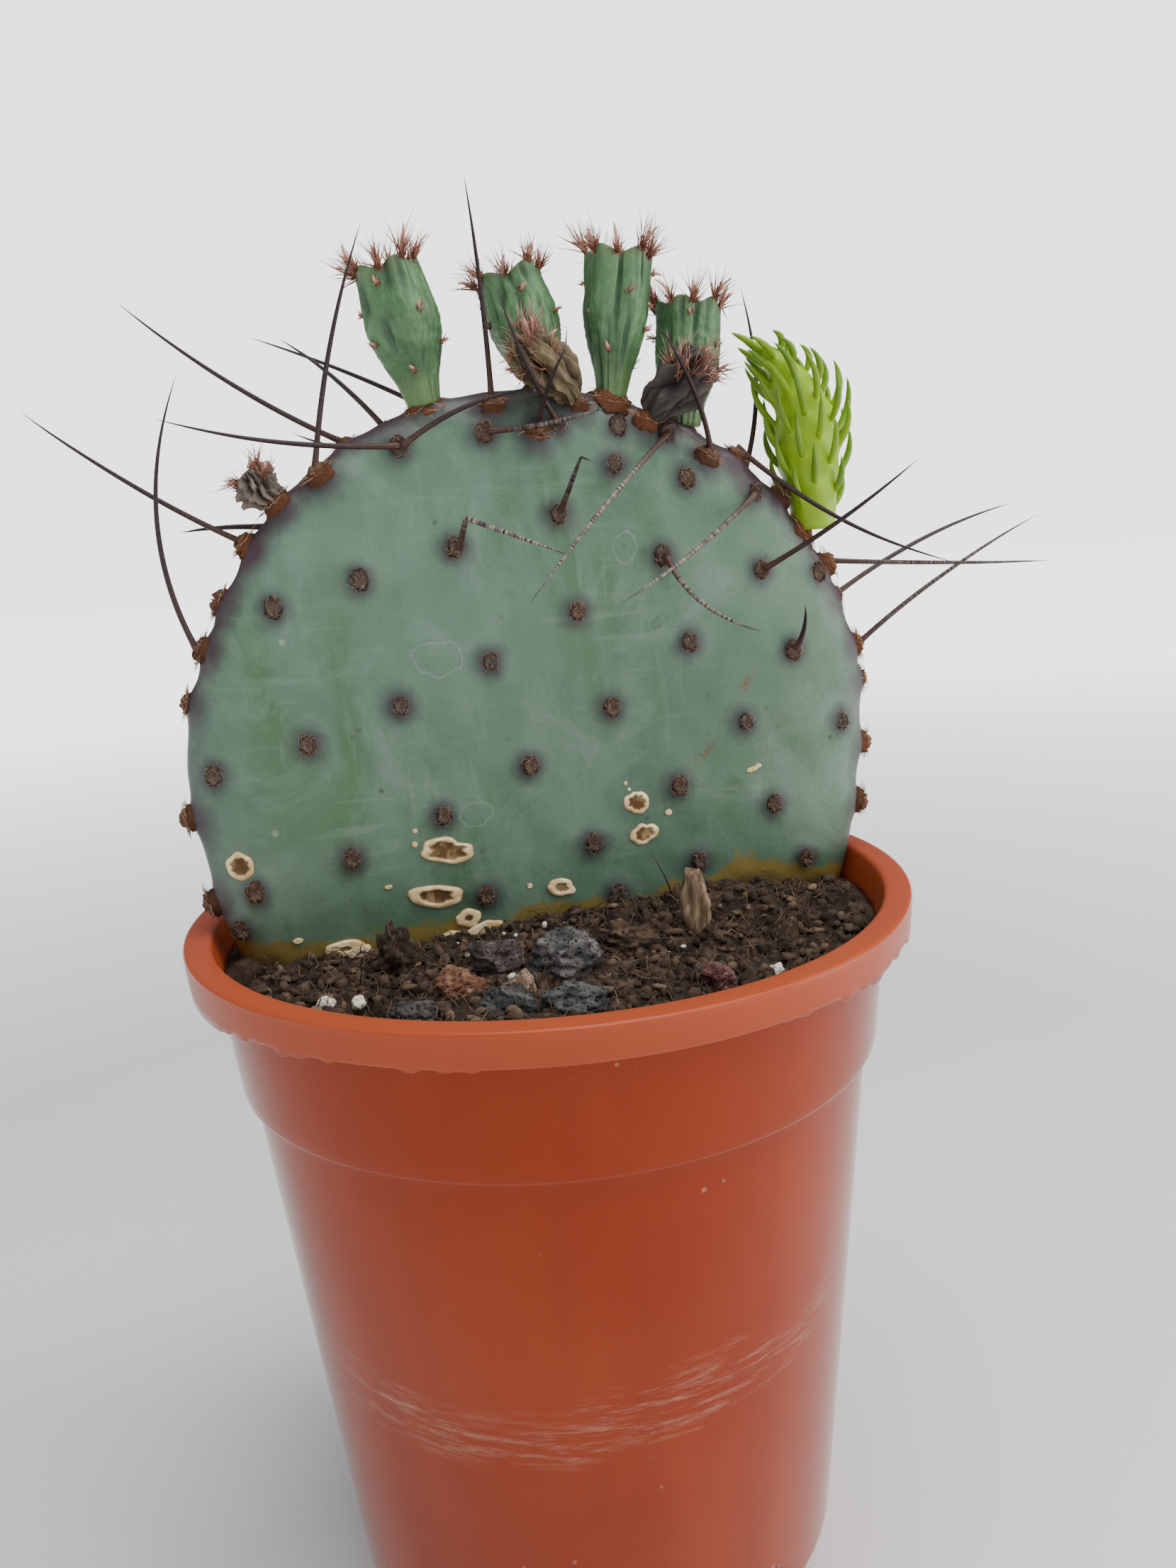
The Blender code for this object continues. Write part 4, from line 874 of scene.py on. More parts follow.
pad_skin, tree, shader, place = finish("waxy_pad_skin", coat=0.05, subsurface=0.06, specular=0.36)
cloud = patchy(tree, place, 26.0, 0.36, 0.66)
skin_tone = blend(tree, cloud, (0.070, 0.132, 0.086), (0.118, 0.202, 0.142))
brushed = noise(tree, stretched(tree, place, (60, 60, 22), (0, 0.5, 0)), 1.0, 5.0, 0.6, 0.8)
brushed = times(tree, between(tree, brushed, 0.46, 0.60), 0.85)
near_rub = between(tree, ink(tree, "rubbed"), -0.5, 0.5, 0.25, 1.0)
brushed = times(tree, brushed, near_rub)
skin_tone = blend(tree, brushed, skin_tone, (0.058, 0.126, 0.050))
bloom = between(tree, noise(tree, place, 48.0, 6.0, 0.7, 1.2), 0.50, 0.68, 0.0, 0.45)
skin_tone = blend(tree, bloom, skin_tone, (0.170, 0.258, 0.200))
for turn_by, stretch, share in ((0.7, (40, 40, 420), 0.30), (-0.5, (420, 300, 50), 0.28)):
    strokes = noise(tree, stretched(tree, place, stretch, (0, turn_by, 0)), 1.0, 4.0, 0.6, 0.5)
    strokes = times(tree, between(tree, strokes, 0.58, 0.72, 0.0, share), near_rub)
    skin_tone = blend(tree, strokes, skin_tone, (0.200, 0.290, 0.225))
fine = noise(tree, place, 620.0, 4.0, 0.7)
skin_tone = blend(tree, between(tree, fine, 0.30, 0.42, 0.30, 0.0), skin_tone, (0.050, 0.085, 0.060))
# purple in the skin: round each cushion, and along the upper edge
drift = between(tree, noise(tree, place, 240.0, 4.0), 0.2, 0.8, -0.16, 0.16)
halo = between(tree, plus(tree, ink(tree, "halo"), drift), 0.18, 0.80)
skin_tone = blend(tree, times(tree, halo, 0.88), skin_tone, (0.038, 0.026, 0.036))
edge_cloud = between(tree, noise(tree, place, 110.0, 5.0, 0.65), 0.25, 0.75, -0.20, 0.20)
edge_here = plus(tree, ink(tree, "edge"), edge_cloud)
upper = between(tree, ink(tree, "crown"), 0.0, 0.4, 0.45, 0.92)
edge = times(tree, between(tree, edge_here, 0.66, 0.98), upper)
skin_tone = blend(tree, edge, skin_tone, (0.048, 0.022, 0.034))
# dark pin-pricks, pale flecks, scraped brown streaks and the dried outlines of drops
pricks = wire(tree, "ShaderNodeTexVoronoi", {"Vector": place, "Scale": 230.0, "Randomness": 1.0})
rare = between(tree, noise(tree, place, 130.0, 2.0), 0.52, 0.66)
prick = times(tree, between(tree, pricks.outputs["Distance"], 0.16, 0.08), rare)
skin_tone = blend(tree, times(tree, prick, 0.7), skin_tone, (0.040, 0.050, 0.034))
dots = wire(tree, "ShaderNodeTexVoronoi", {"Vector": place, "Scale": 120.0, "Randomness": 1.0})
seldom = between(tree, noise(tree, place, 61.0, 2.0), 0.56, 0.66)
fleck = times(tree, between(tree, dots.outputs["Distance"], 0.11, 0.05), seldom)
skin_tone = blend(tree, times(tree, fleck, 0.6), skin_tone, (0.42, 0.46, 0.36))
torn = between(tree, noise(tree, place, 420.0, 5.0, 0.8), 0.50, 0.60)
scrape = times(tree, between(tree, ink(tree, "scrape"), -0.1, 0.5), torn)
skin_tone = blend(tree, scrape, skin_tone, (0.150, 0.068, 0.034))
wobble = between(tree, noise(tree, place, 330.0, 3.0), 0.2, 0.8, -0.30, 0.30)
line = plus(tree, ink(tree, "ring"), wobble)
line_gap = sums(tree, "ABSOLUTE", line)
drop = between(tree, line_gap, 0.08, 0.02, 0.0, 0.26)
skin_tone = blend(tree, drop, skin_tone, (0.30, 0.38, 0.32))
# a mustard stain and splashed dirt just over the soil
creep = between(tree, noise(tree, place, 110.0, 5.0, 0.65), 0.2, 0.8, -3.6, 3.6)
stain = between(tree, plus(tree, ink(tree, "above_soil"), creep), 3.6, 2.0)
skin_tone = blend(tree, times(tree, stain, 0.85), skin_tone, (0.215, 0.140, 0.022))
splash = between(tree, plus(tree, ink(tree, "above_soil"), creep), 0.6, -1.8)
skin_tone = blend(tree, times(tree, splash, 0.6), skin_tone, (0.060, 0.036, 0.018))
wax = between(tree, noise(tree, place, 90.0, 5.0), 0.3, 0.7, 0.40, 0.56)
wax = sums(tree, "SUBTRACT", wax, times(tree, brushed, 0.15))
pores = noise(tree, place, 1100.0, 4.0, 0.6)
soft = plus(tree, times(tree, noise(tree, place, 150.0, 4.0), 2.2), pores)
soft = sums(tree, "SUBTRACT", soft, times(tree, scrape, 1.2))
bumps = bumpy(tree, soft, 0.00013, 0.55)
give(tree, shader, Base_Color=skin_tone, Roughness=wax, Normal=bumps)
pad = skin("paddle", pad_grid[None], pad_skin, {key: value[None] for key, value in pad_values.items()})
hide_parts("pad")


# ---- Woolly cushions --------------------------------------------------------------------------
# The areoles: oval buttons of matted brown wool and short bristles, one at each place where
# spines grow. Those on the edge stand further out and are more orange.

CUSHION_HAIRS = 60
FRUIT_FEET = (-14, 5, 16, 29, 56)
random = np.random.default_rng(61)
count = len(cushion_at)
cushion_size = np.where(on_edge, random.uniform(0.85, 1.15, count), random.uniform(0.76, 0.92, count))
under_fruit = np.zeros(count, bool)
under_fruit[2 * len(front_u):] = [clock in FRUIT_FEET for clock, _ in EDGE_CUSHIONS]
cushion_wide = np.where(under_fruit, 2.4, np.where(on_edge, 1.35, 1.0))[:, None, None]
cushion_tall = np.where(under_fruit, 1.9, np.where(on_edge, 1.0, 1.25))[:, None, None]

# the first direction of each runs along the pad's edge, or across the face
cushion_side = np.cross(np.where(on_edge[:, None], (0.0, 0, 1), (0.0, 1, 0)), cushion_way)
cushion_side /= np.linalg.norm(cushion_side, axis=1)[:, None]
cushion_over = np.cross(cushion_way, cushion_side)
steps = np.linspace(0, 1, 10)
# across the button from its middle: a dimple, a raised ring, then down to the skin and under it
button_r = np.array([0, 0.30, 0.55, 0.75, 0.90, 1.0, 1.06, 1.05, 0.9, 0.0]) * 0.00175
button_h = np.array([0.95, 1.05, 1.35, 1.50, 1.25, 0.80, 0.30, -0.20, -0.6, -0.8]) * 0.0010
turn = np.linspace(0, 2 * np.pi, 18, endpoint=False)
lumpy = 1 + 0.16 * random.uniform(-1, 1, (count, 10, 18))
flat_x = button_r[None, :, None] * np.cos(turn) * lumpy * cushion_size[:, None, None] * cushion_wide
flat_y = button_r[None, :, None] * np.sin(turn) * lumpy * cushion_size[:, None, None] * cushion_tall
dome_h = np.array([2.1, 2.0, 1.8, 1.5, 1.2, 0.8, 0.3, -0.2, -0.6, -0.8]) * 0.0010
lift = np.where(on_edge[:, None, None], dome_h[None, :, None], button_h[None, :, None]) + 0 * flat_x
lift = lift * (1 + 1.6 * (lumpy - 1)) * cushion_size[:, None, None]
lift = lift * np.where(on_edge, 1.15, 0.9)[:, None, None]


def droop(x, y):
    """How far a wide mat under a fruit bends down with the pad's edge, along it and across it."""
    return under_fruit[:, None, None] * (60 * x**2 + 200 * y**2)


lift = lift - droop(flat_x, flat_y)


def from_cushions(x, y, z):
    """Places in the shared frame from places across, up and out of each cushion."""
    local = (
        cushion_at[:, None, None]
        + x[..., None] * cushion_side[:, None, None]
        + y[..., None] * cushion_over[:, None, None]
        + z[..., None] * cushion_way[:, None, None]
    )
    return on_pad(local[..., 0], local[..., 1], local[..., 2])


wool, tree, shader, place = finish("brown_wool", specular=0.2, rough=0.95)
warm = ink(tree, "warm")
ring = ink(tree, "ring")
button = blend(tree, ring, (0.180, 0.135, 0.105), (0.034, 0.020, 0.017))
warm_button = blend(tree, ring, (0.230, 0.105, 0.050), (0.160, 0.058, 0.024))
button = blend(tree, warm, button, warm_button)
matted = noise(tree, place, 1500.0, 5.0, 0.75)
button = blend(tree, between(tree, matted, 0.45, 0.7, 0, 0.6), button, (0.030, 0.018, 0.014))
give(tree, shader, Base_Color=button, Normal=toothed(tree, place, 1600.0, 0.0006, 1.0))
ring_share = np.clip((steps - 0.15) / 0.25, 0, 1)[None, :, None]
warmth = np.where(on_edge, random.uniform(0.45, 1.0, count), random.uniform(0.0, 0.25, count))
warmth = warmth[:, None, None]
button_grid = from_cushions(flat_x, flat_y, lift)
buttons = skin("cushion_buttons", button_grid, wool, {"ring": ring_share, "warm": warmth})

hair_turn = random.uniform(0, 2 * np.pi, (count, CUSHION_HAIRS))
hair_out = np.sqrt(random.uniform(0, 1, (count, CUSHION_HAIRS)))
hair_size = cushion_size[:, None]
t = np.linspace(0, 1, 4)
hair_long = random.uniform(0.5, 1.0, (count, CUSHION_HAIRS)) * np.where(on_edge, 0.0023, 0.0010)[:, None]
root_r = 0.00155 * hair_out * hair_size
spray = (root_r[..., None] + hair_long[..., None] * (0.25 + 0.75 * hair_out[..., None]) * t)
swirl = hair_turn[..., None] + random.uniform(-1, 1, (count, CUSHION_HAIRS, 1)) * t * 1.2
base = (0.0009 + 0.0004 * np.sin(np.pi * hair_out)) * hair_size
stand = base[..., None] + hair_long[..., None] * (0.75 - 0.65 * hair_out[..., None] * t) * t
hair_x, hair_y = spray * np.cos(swirl) * cushion_wide, spray * np.sin(swirl) * cushion_tall
stand = stand - np.minimum(droop(hair_x, hair_y), 0.0025)
hair_paths = from_cushions(hair_x, hair_y, stand).reshape(-1, 4, 3)
hair_radii = np.repeat(np.where(on_edge, 0.00011, 0.000075), CUSHION_HAIRS)[:, None] * (1.05 - t)
hairs, tree, shader, place = finish("bristle_tuft", specular=0.3, rough=0.7)
warm = ink(tree, "warm")
strand = ink(tree, "tone")
brown = blend(tree, strand, (0.060, 0.036, 0.028), (0.300, 0.235, 0.185))
orange = blend(tree, strand, (0.180, 0.068, 0.026), (0.520, 0.330, 0.190))
strand_colour = blend(tree, warm, brown, orange)
give(tree, shader, Base_Color=strand_colour, Normal=toothed(tree, place, 2500.0, 0.0002))
hair_tone = random.uniform(0, 1, (len(hair_paths), 1, 1))
hair_warm = np.repeat(warmth.reshape(-1), CUSHION_HAIRS)[:, None, None]
hair_grid = tubes(hair_paths, hair_radii, 3)
wool_piece = skin("cushion_wool", hair_grid, hairs, {"tone": hair_tone, "warm": hair_warm})


# ---- Cork scars -------------------------------------------------------------------------------
# Old wounds healed over with cream cork: torn patches with a brown sunken middle, low on the
# front of the pad, and a scatter of pale specks.

CORK_SCARS = [
    # across, up, half width and half height in millimetres, size of the hollow, turn in degrees
    (-58.7, 18.5, 2.5, 2.2, 0.55, 20), (-20.7, 17.2, 4.4, 2.3, 0.60, -5),
    (-23.6, 8.6, 4.6, 2.1, 0.50, -8),
    (17.0, 22.2, 2.1, 2.2, 0.55, 0), (18.1, 15.7, 2.5, 1.9, 0.55, 15), (0.7, 7.1, 2.5, 1.6, 0.40, -15),
    (-17.8, 3.4, 2.3, 1.6, 0.25, 5), (-15.0, 1.0, 3.4, 1.1, 0.0, 8), (-20.0, 0.0, 2.6, 1.0, 0.0, -20),
    (-41.5, 0.6, 3.6, 1.5, 0.2, 6), (-39.0, -0.6, 2.0, 1.4, 0.0, 30),
    (-26.3, 21.8, 0.45, 0.4, 0.0, 0), (-26.6, 19.2, 0.5, 0.5, 0.0, 0),
    (-32.3, 11.6, 0.7, 0.35, 0.0, 0), (-5.4, 8.2, 0.5, 0.5, 0.0, 0), (15.0, 26.3, 0.35, 0.35, 0.0, 0),
    (15.6, 25.0, 0.3, 0.3, 0.0, 0), (23.4, 19.4, 0.6, 0.6, 0.0, 0), (41.3, 26.0, 1.1, 0.5, 0.0, 15),
    (42.6, 26.6, 0.6, 0.4, 0.0, 0), (-50.0, 3.2, 0.9, 0.5, 0.0, 10), (31.0, 9.0, 0.5, 0.3, 0.0, 0),
]
SCAR_GROWTH = 1.14
scar = np.array(CORK_SCARS)
count = len(scar)
rows, cols = 16, 44
turn = np.linspace(0, 2 * np.pi, cols, endpoint=False)
random = np.random.default_rng(65)
waves = np.arange(2, 9)
size = 0.22 / waves * random.uniform(-1, 1, (count, 7))
edge_waves = np.cos(waves[:, None] * turn + random.uniform(0, 7, (count, 7, 1)))
hole_waves = np.cos(waves[:, None] * turn + random.uniform(0, 7, (count, 7, 1)))
torn_edge = 1 + (size[:, :, None] * edge_waves).sum(1)
torn_hole = 1 + (size[:, ::-1, None] * hole_waves).sum(1) * 0.9
inward = np.r_[np.linspace(0, 1, rows - 2), 1.03, 0.0][None, :, None]
hole = scar[:, 4, None, None] * torn_hole[:, None] * 1.05
rise = np.clip((inward - hole) / 0.10, 0, 1)
sheer = rise * rise * (3 - 2 * rise)
fall = np.clip((1.0 - inward) / 0.25, 0, 1) ** 0.5
cork_h = (0.00004 + 0.00042 * sheer * fall) * np.minimum(1, scar[:, 2, None, None] / 1.6) + 0.00006
cork_h = np.where(np.arange(rows)[None, :, None] >= rows - 2, -0.0007, cork_h)
tilt = np.radians(scar[:, 5])[:, None, None]
flat_x = inward * torn_edge[:, None] * scar[:, 2, None, None] * 0.001 * np.cos(turn)
flat_y = inward * torn_edge[:, None] * scar[:, 3, None, None] * 0.001 * np.sin(turn)
flat_x, flat_y = flat_x * SCAR_GROWTH, flat_y * SCAR_GROWTH
scar_u = scar[:, 0, None, None] * 0.001 + flat_x * np.cos(tilt) - flat_y * np.sin(tilt)
scar_v = scar[:, 1, None, None] * 0.001 + flat_x * np.sin(tilt) + flat_y * np.cos(tilt)
under = 0.00022 * ripple(np.stack([scar_u, scar_v, face_depth(scar_u, scar_v)], -1), 0.030, 31)
scar_w = face_depth(scar_u, scar_v) + under + cork_h
cork, tree, shader, place = finish("cream_cork", specular=0.3, rough=0.8)
sunk = ink(tree, "hollow")
pale = patchy(tree, place, 320.0, 0.42, 0.62)
crust = blend(tree, pale, (0.66, 0.46, 0.22), (0.92, 0.76, 0.46))
# the sunken middle is darker: partly the cork's own brown, partly painted shade in the hollow
pit_brown_and_shade = blend(tree, pale, (0.120, 0.060, 0.022), (0.400, 0.270, 0.135))
crust = blend(tree, sunk, crust, pit_brown_and_shade)
rim = ink(tree, "rim")
crust = blend(tree, rim, crust, (0.30, 0.17, 0.065))
give(tree, shader, Base_Color=crust, Normal=toothed(tree, place, 900.0, 0.0004, 0.8))
cork_values = {"hollow": 1 - sheer, "rim": np.clip((inward - 0.93) / 0.07, 0, 1) + 0 * sheer}
scars = skin("cork_scars", on_pad(scar_u, scar_v, scar_w), cork, cork_values)


# ---- Spines -----------------------------------------------------------------------------------
# Thin horn needles that leave the cushions. They are dark maroon, and the older ones on the face
# are weathered grey-white in bands.

SPINE_STEPS = 44
SPINE_SIDES = 10
WEATHERED = {"face_spine_03": 0.4, "face_spine_05": 0.75, "face_spine_06": 0.7, "face_spine_07": 1.0,
             "face_spine_08": 0.2, "face_spine_09": 0.8, "edge_spine_15": 0.35, "edge_spine_13": 0.3}
KINKS = {
    # where the spine turns: how far along it, and the place from its foot across, up and out, in
    # millimetres
    "face_spine_07": (0.22, (1.2, 5.2, 3.6)), "face_spine_08": (0.80, (2.6, 8.8, 8.0)),
}
horn, tree, shader, place = finish("maroon_horn", specular=0.28)
along, old = ink(tree, "along"), ink(tree, "old")
dark = blend(tree, between(tree, along, 0.0, 0.35), (0.048, 0.019, 0.013), (0.016, 0.007, 0.008))
stripes = noise(tree, place, 620.0, 3.0, 0.7)
reach = wire(tree, "ShaderNodeCombineXYZ", {"X": ink(tree, "travel")}).outputs[0]
bands = noise(tree, reach, 2.1, 3.0, 0.7)
faint = times(tree, between(tree, bands, 0.44, 0.60), 0.14)
dark = blend(tree, faint, dark, (0.160, 0.095, 0.082))
worn = between(tree, plus(tree, bands, times(tree, stripes, 0.35)), 0.62, 0.76)
middle = times(tree, between(tree, along, 0.10, 0.28), between(tree, along, 0.97, 0.80))
worn = times(tree, times(tree, worn, middle), old)
give(tree, shader, Base_Color=blend(tree, worn, dark, (0.360, 0.310, 0.265)))
smooth = between(tree, worn, 0, 1, 0.38, 0.75)
give(tree, shader, Roughness=smooth, Normal=toothed(tree, place, 1800.0, 0.0001))


def midline(node):
    """The middles of the rings of a CAD spine, from its thick end: its points in order along its
    longest direction, four to a ring."""
    co = np.array([v.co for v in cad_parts[node].data.vertices])
    co = np.unique(np.round(co, 6), axis=0)
    centred = co - co.mean(0)
    way = np.linalg.svd(centred, full_matrices=False)[2][0]
    co = co[np.argsort(centred @ way)]
    rings = co[: len(co) // 4 * 4].reshape(-1, 4, 3)
    middles = rings.mean(1)
    thick = np.linalg.norm(rings - middles[:, None], axis=-1).mean(1)
    return middles if thick[0] > thick[-1] else middles[::-1]


for node in sorted(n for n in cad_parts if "_spine_" in n):
    middles = midline(node)
    span = np.linalg.norm(middles - middles[0], axis=1)
    length = span[-1]
    fit = np.polyfit(span / length, middles, 2)
    t = np.linspace(-0.02, 1, SPINE_STEPS)[:, None]
    path = fit[0] * t * t + fit[1] * t + fit[2]
    if node in KINKS:
        turn_at, elbow = KINKS[node]
        elbow = path[1] + on_pad(*(np.array([p * 0.001]) for p in elbow))[0] - PAD_FOOT
        share = np.clip(t, 0, 1)
        to_elbow = path[1] + (elbow - path[1]) * share / turn_at
        to_tip = elbow + (path[-1] - elbow) * (share - turn_at) / (1 - turn_at)
        path = np.where(share < turn_at, to_elbow, to_tip)
        path[1:-1] = (path[:-2] + 2 * path[1:-1] + path[2:]) / 4
    random = np.random.default_rng(int(node[-2:]) + 100 * len(node))
    wave = 0.004 * length * np.sin(2 * np.pi * t * random.uniform(0.8, 1.4) + random.uniform(0, 6))
    path = path + wave * t * random.uniform(-1, 1, 3)
    taper = 0.00054 * (1 - 0.30 * t - 0.66 * np.clip(t, 0, 1) ** 3)[:, 0]
    taper *= 1 + 0.35 * np.exp(-np.clip(t[:, 0], 0, 1) * length / 0.0012)
    grid = tubes(path[None], taper[None], SPINE_SIDES)
    rows = np.r_[0, np.arange(SPINE_STEPS), SPINE_STEPS - 1]
    place_along = np.clip(t[rows, 0], 0, 1)[None, :, None]
    values = {"along": place_along, "old": WEATHERED.get(node, 0.0),
              "travel": place_along * length * 1000 + 40 * random.uniform()}
    needle = skin(node.replace("spine", "needle"), grid, horn, values)
    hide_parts(node)

# one more needle has dropped and stands in the soil
drop_path = np.linspace(0, 1, 24)[:, None]
foot_at, tip_at = np.array([(0.0225, 0.001, 0.0125), (0.0185, 0.0125, 0.0095)])
drop_bow = np.array((0.0006, 0, 0)) * np.sin(np.pi * drop_path)
drop_local = foot_at + (tip_at - foot_at) * drop_path + drop_bow
drop_grid = tubes(on_pad(*drop_local.T)[None], 0.00042 * (1.02 - drop_path.T), SPINE_SIDES)
rows = np.r_[0, np.arange(24), 23]
drop_along = drop_path[rows].reshape(1, -1, 1)
drop_values = {"along": drop_along, "old": 0.1, "travel": drop_along * 12}
fallen = skin("fallen_needle", drop_grid, horn, drop_values)


# ---- Green fruits -----------------------------------------------------------------------------
# Four unripe fruits on the top edge: ribbed, wrinkled barrels on a narrow foot, with a dished
# crown. Each small cushion on them has a tuft of red-brown bristles and a curled pink scale.


def stood(node):
    """A long CAD piece's foot and its axis: found from the middles of the points at either end of
    its longest direction."""
    co = np.array([v.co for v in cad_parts[node].data.vertices])
    centred = co - co.mean(0)
    way = np.linalg.svd(centred, full_matrices=False)[2][0]
    way = way * np.sign(way[2])
    reach = centred @ way
    foot = co[reach < reach.min() + 0.0004].mean(0)
    tip = co[reach > reach.max() - 0.0012].mean(0)
    return foot, (tip - foot) / np.linalg.norm(tip - foot)


def aside(axis):
    """Two directions square to an axis: the first to the right across the pad, the second to its
    front."""
    front = PAD_OUT - axis * (PAD_OUT @ axis)
    front /= np.linalg.norm(front)
    return np.cross(front, axis) * -1.0, front


def barrel(t, turn, length, radius, ribs, crown, seed):
    """A fruit's reach from its axis and its height: a foot that swells to a full upper half, with
    shallow ribs, lobes at the crown, and long wrinkles that wander."""
    t, turn = np.broadcast_arrays(t, turn)
    swell = 0.44 + 0.58 * np.sin(np.pi / 2 * np.clip(t / 0.62, 0, 1)) ** 1.1
    swell = swell * (1 - (1 - crown) * np.clip((t - 0.5) / 0.5, 0, 1) ** 1.5)
    rib = 0.045 * np.cos(ribs * turn + 0.6 * np.sin(3 * t + seed))
    rib = rib * np.sin(np.pi * np.clip(t, 0, 1) * 0.85) ** 0.8
    local = np.stack([np.cos(turn) * 6, np.sin(turn) * 6, t * 3.2], -1)
    dent = np.maximum(ripple(local, 1.9, seed), 0) ** 1.5
    wrinkle = 0.045 * ripple(local, 5.5, seed + 3) - 0.075 * dent
    wrinkle = wrinkle - 0.038 * np.abs(ripple(local * (1, 1, 1.6), 0.9, seed + 1)) * np.sin(np.pi * t)
    lobe = np.cos(ribs * turn + 0.6 * np.sin(3.0 + seed))
    shoulder = 0.055 * lobe * np.clip((t - 0.68) / 0.32, 0, 1) ** 2
    reach = radius * swell * (1 + rib + wrinkle + shoulder)
    return reach, length * t + 0.0006 * lobe * np.clip((t - 0.75) / 0.25, 0, 1) ** 2


FRUIT_SHAPES = {
    # length, greatest radius, number of ribs, the crown's share of the radius
    "fruit_1": (0.0225, 0.0068, 5, 0.78), "fruit_2": (0.0190, 0.0066, 5, 0.92),
    "fruit_3": (0.0235, 0.0060, 5, 0.94), "fruit_4": (0.0205, 0.0062, 6, 0.98),
}
fruit_skin, tree, shader, place = finish("fruit_skin", coat=0.08, subsurface=0.10, specular=0.45)
up_fruit = ink(tree, "up")
cloud = patchy(tree, place, 90.0, 0.36, 0.66)
green = blend(tree, cloud, (0.040, 0.104, 0.036), (0.088, 0.200, 0.076))
pale_spots = between(tree, noise(tree, place, 300.0, 5.0, 0.7), 0.50, 0.72, 0, 0.5)
green = blend(tree, pale_spots, green, (0.150, 0.290, 0.130))
foot_tint = between(tree, up_fruit, 0.22, 0.0, 0.0, 0.5)
green = blend(tree, foot_tint, green, (0.160, 0.230, 0.070))
# the dents of the wrinkles are darkened: painted shade in the creases
crease_shade = ink(tree, "crease_shade")
green = blend(tree, times(tree, crease_shade, 0.8), green, (0.030, 0.070, 0.034))
crown_tint = between(tree, up_fruit, 0.90, 1.0, 0.0, 0.35)
green = blend(tree, crown_tint, green, (0.130, 0.100, 0.060))
give(tree, shader, Base_Color=green, Normal=toothed(tree, place, 700.0, 0.00035, 0.7))
give(tree, shader, Roughness=between(tree, noise(tree, place, 200.0, 4.0), 0.3, 0.7, 0.40, 0.55))

tuft_at, tuft_way, tuft_long, tuft_many = [], [], [], []
scale_at, scale_way, scale_long = [], [], []
for seed, (node, (length, radius, ribs, crown)) in enumerate(FRUIT_SHAPES.items(), 91):
    base, axis = stood(node)
    right, front = aside(axis)
    rows, cols = 84, 120
    t, turn = np.linspace(0, 1, rows)[:, None], np.linspace(0, 2 * np.pi, cols, endpoint=False)[None]
    t, turn = np.broadcast_arrays(t, turn)
    reach, height = barrel(t, turn, length, radius, ribs, crown, seed)
    reach[0] = 0
    # the crown dips from its lobed rim to a flat dish, and the foot closes under the barrel
    dish = np.linspace(1, 0, 14)[1:, None]
    dish_reach = reach[-1:] * np.sqrt(dish)
    dish_height = height[-1:] * dish + (length - 0.0026) * (1 - dish)
    # the foot runs down through the gap to its cushion
    height = height - 0.0022 * np.clip((0.12 - t) / 0.12, 0, 1)
    reach, height = np.vstack([reach, dish_reach]), np.vstack([height, dish_height])
    around = np.cos(turn[:1])[..., None] * right + np.sin(turn[:1])[..., None] * front
    shape = base + reach[..., None] * around
    shape = shape + height[..., None] * axis
    local = np.stack([np.cos(turn) * 6, np.sin(turn) * 6, t * 3.2], -1)
    # how deep each point sits in a dent, which carries the painted shade of the creases
    crease_shade_share = np.clip(np.maximum(ripple(local, 1.9, seed), 0) ** 1.5 * 0.9, 0, 1)
    crease_shade_share = np.vstack([crease_shade_share, np.repeat(crease_shade_share[-1:] * 0.5, 13, 0)])
    up_share = np.vstack([t, np.ones((13, cols))])
    fruit_values = {"crease_shade": crease_shade_share[None], "up": up_share[None]}
    fruit = skin(node + "_barrel", shape[None], fruit_skin, fruit_values)
    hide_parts(node)

    # small cushions: scattered up the barrel, and a ring of them round the crown
    random = np.random.default_rng(seed)
    crown_count = ribs + 3
    crown_turn = 2 * np.pi * np.arange(crown_count) / crown_count + 0.3
    spot_turn = np.r_[2.4 * np.arange(9) + random.uniform(0, 6), crown_turn]
    spot_t = np.r_[np.linspace(0.18, 0.86, 9), np.full(crown_count, 0.985)]
    spot_reach, spot_height = barrel(spot_t, spot_turn, length, radius, ribs, crown, seed)
    outward = np.cos(spot_turn)[:, None] * right + np.sin(spot_turn)[:, None] * front
    spots = base + spot_reach[:, None] * outward + spot_height[:, None] * axis
    at_crown = spot_t > 0.95
    ways = outward + axis * np.where(at_crown, 1.5, 0.5)[:, None]
    ways = ways / np.linalg.norm(ways, axis=1)[:, None]
    for places, directions, lengths, crown_long in (
        (tuft_at, tuft_way, tuft_long, (0.0050, 0.0082)),
        (scale_at, scale_way, scale_long, (0.0038, 0.0064)),
    ):
        places.append(spots)
        directions.append(ways)
        long_ones = random.uniform(*crown_long, len(spots))
        short_ones = random.uniform(0.0016, 0.0028, len(spots))
        lengths.append(np.where(at_crown, long_ones, short_ones))
    tuft_many.append(np.where(at_crown, 26, 12))


# ---- Withered fruits --------------------------------------------------------------------------
# Two fruits that failed and dried: one a tan husk, the other nearly black, both crumpled into long
# folds with a crest of bristles. A dried bud sits on the left shoulder.

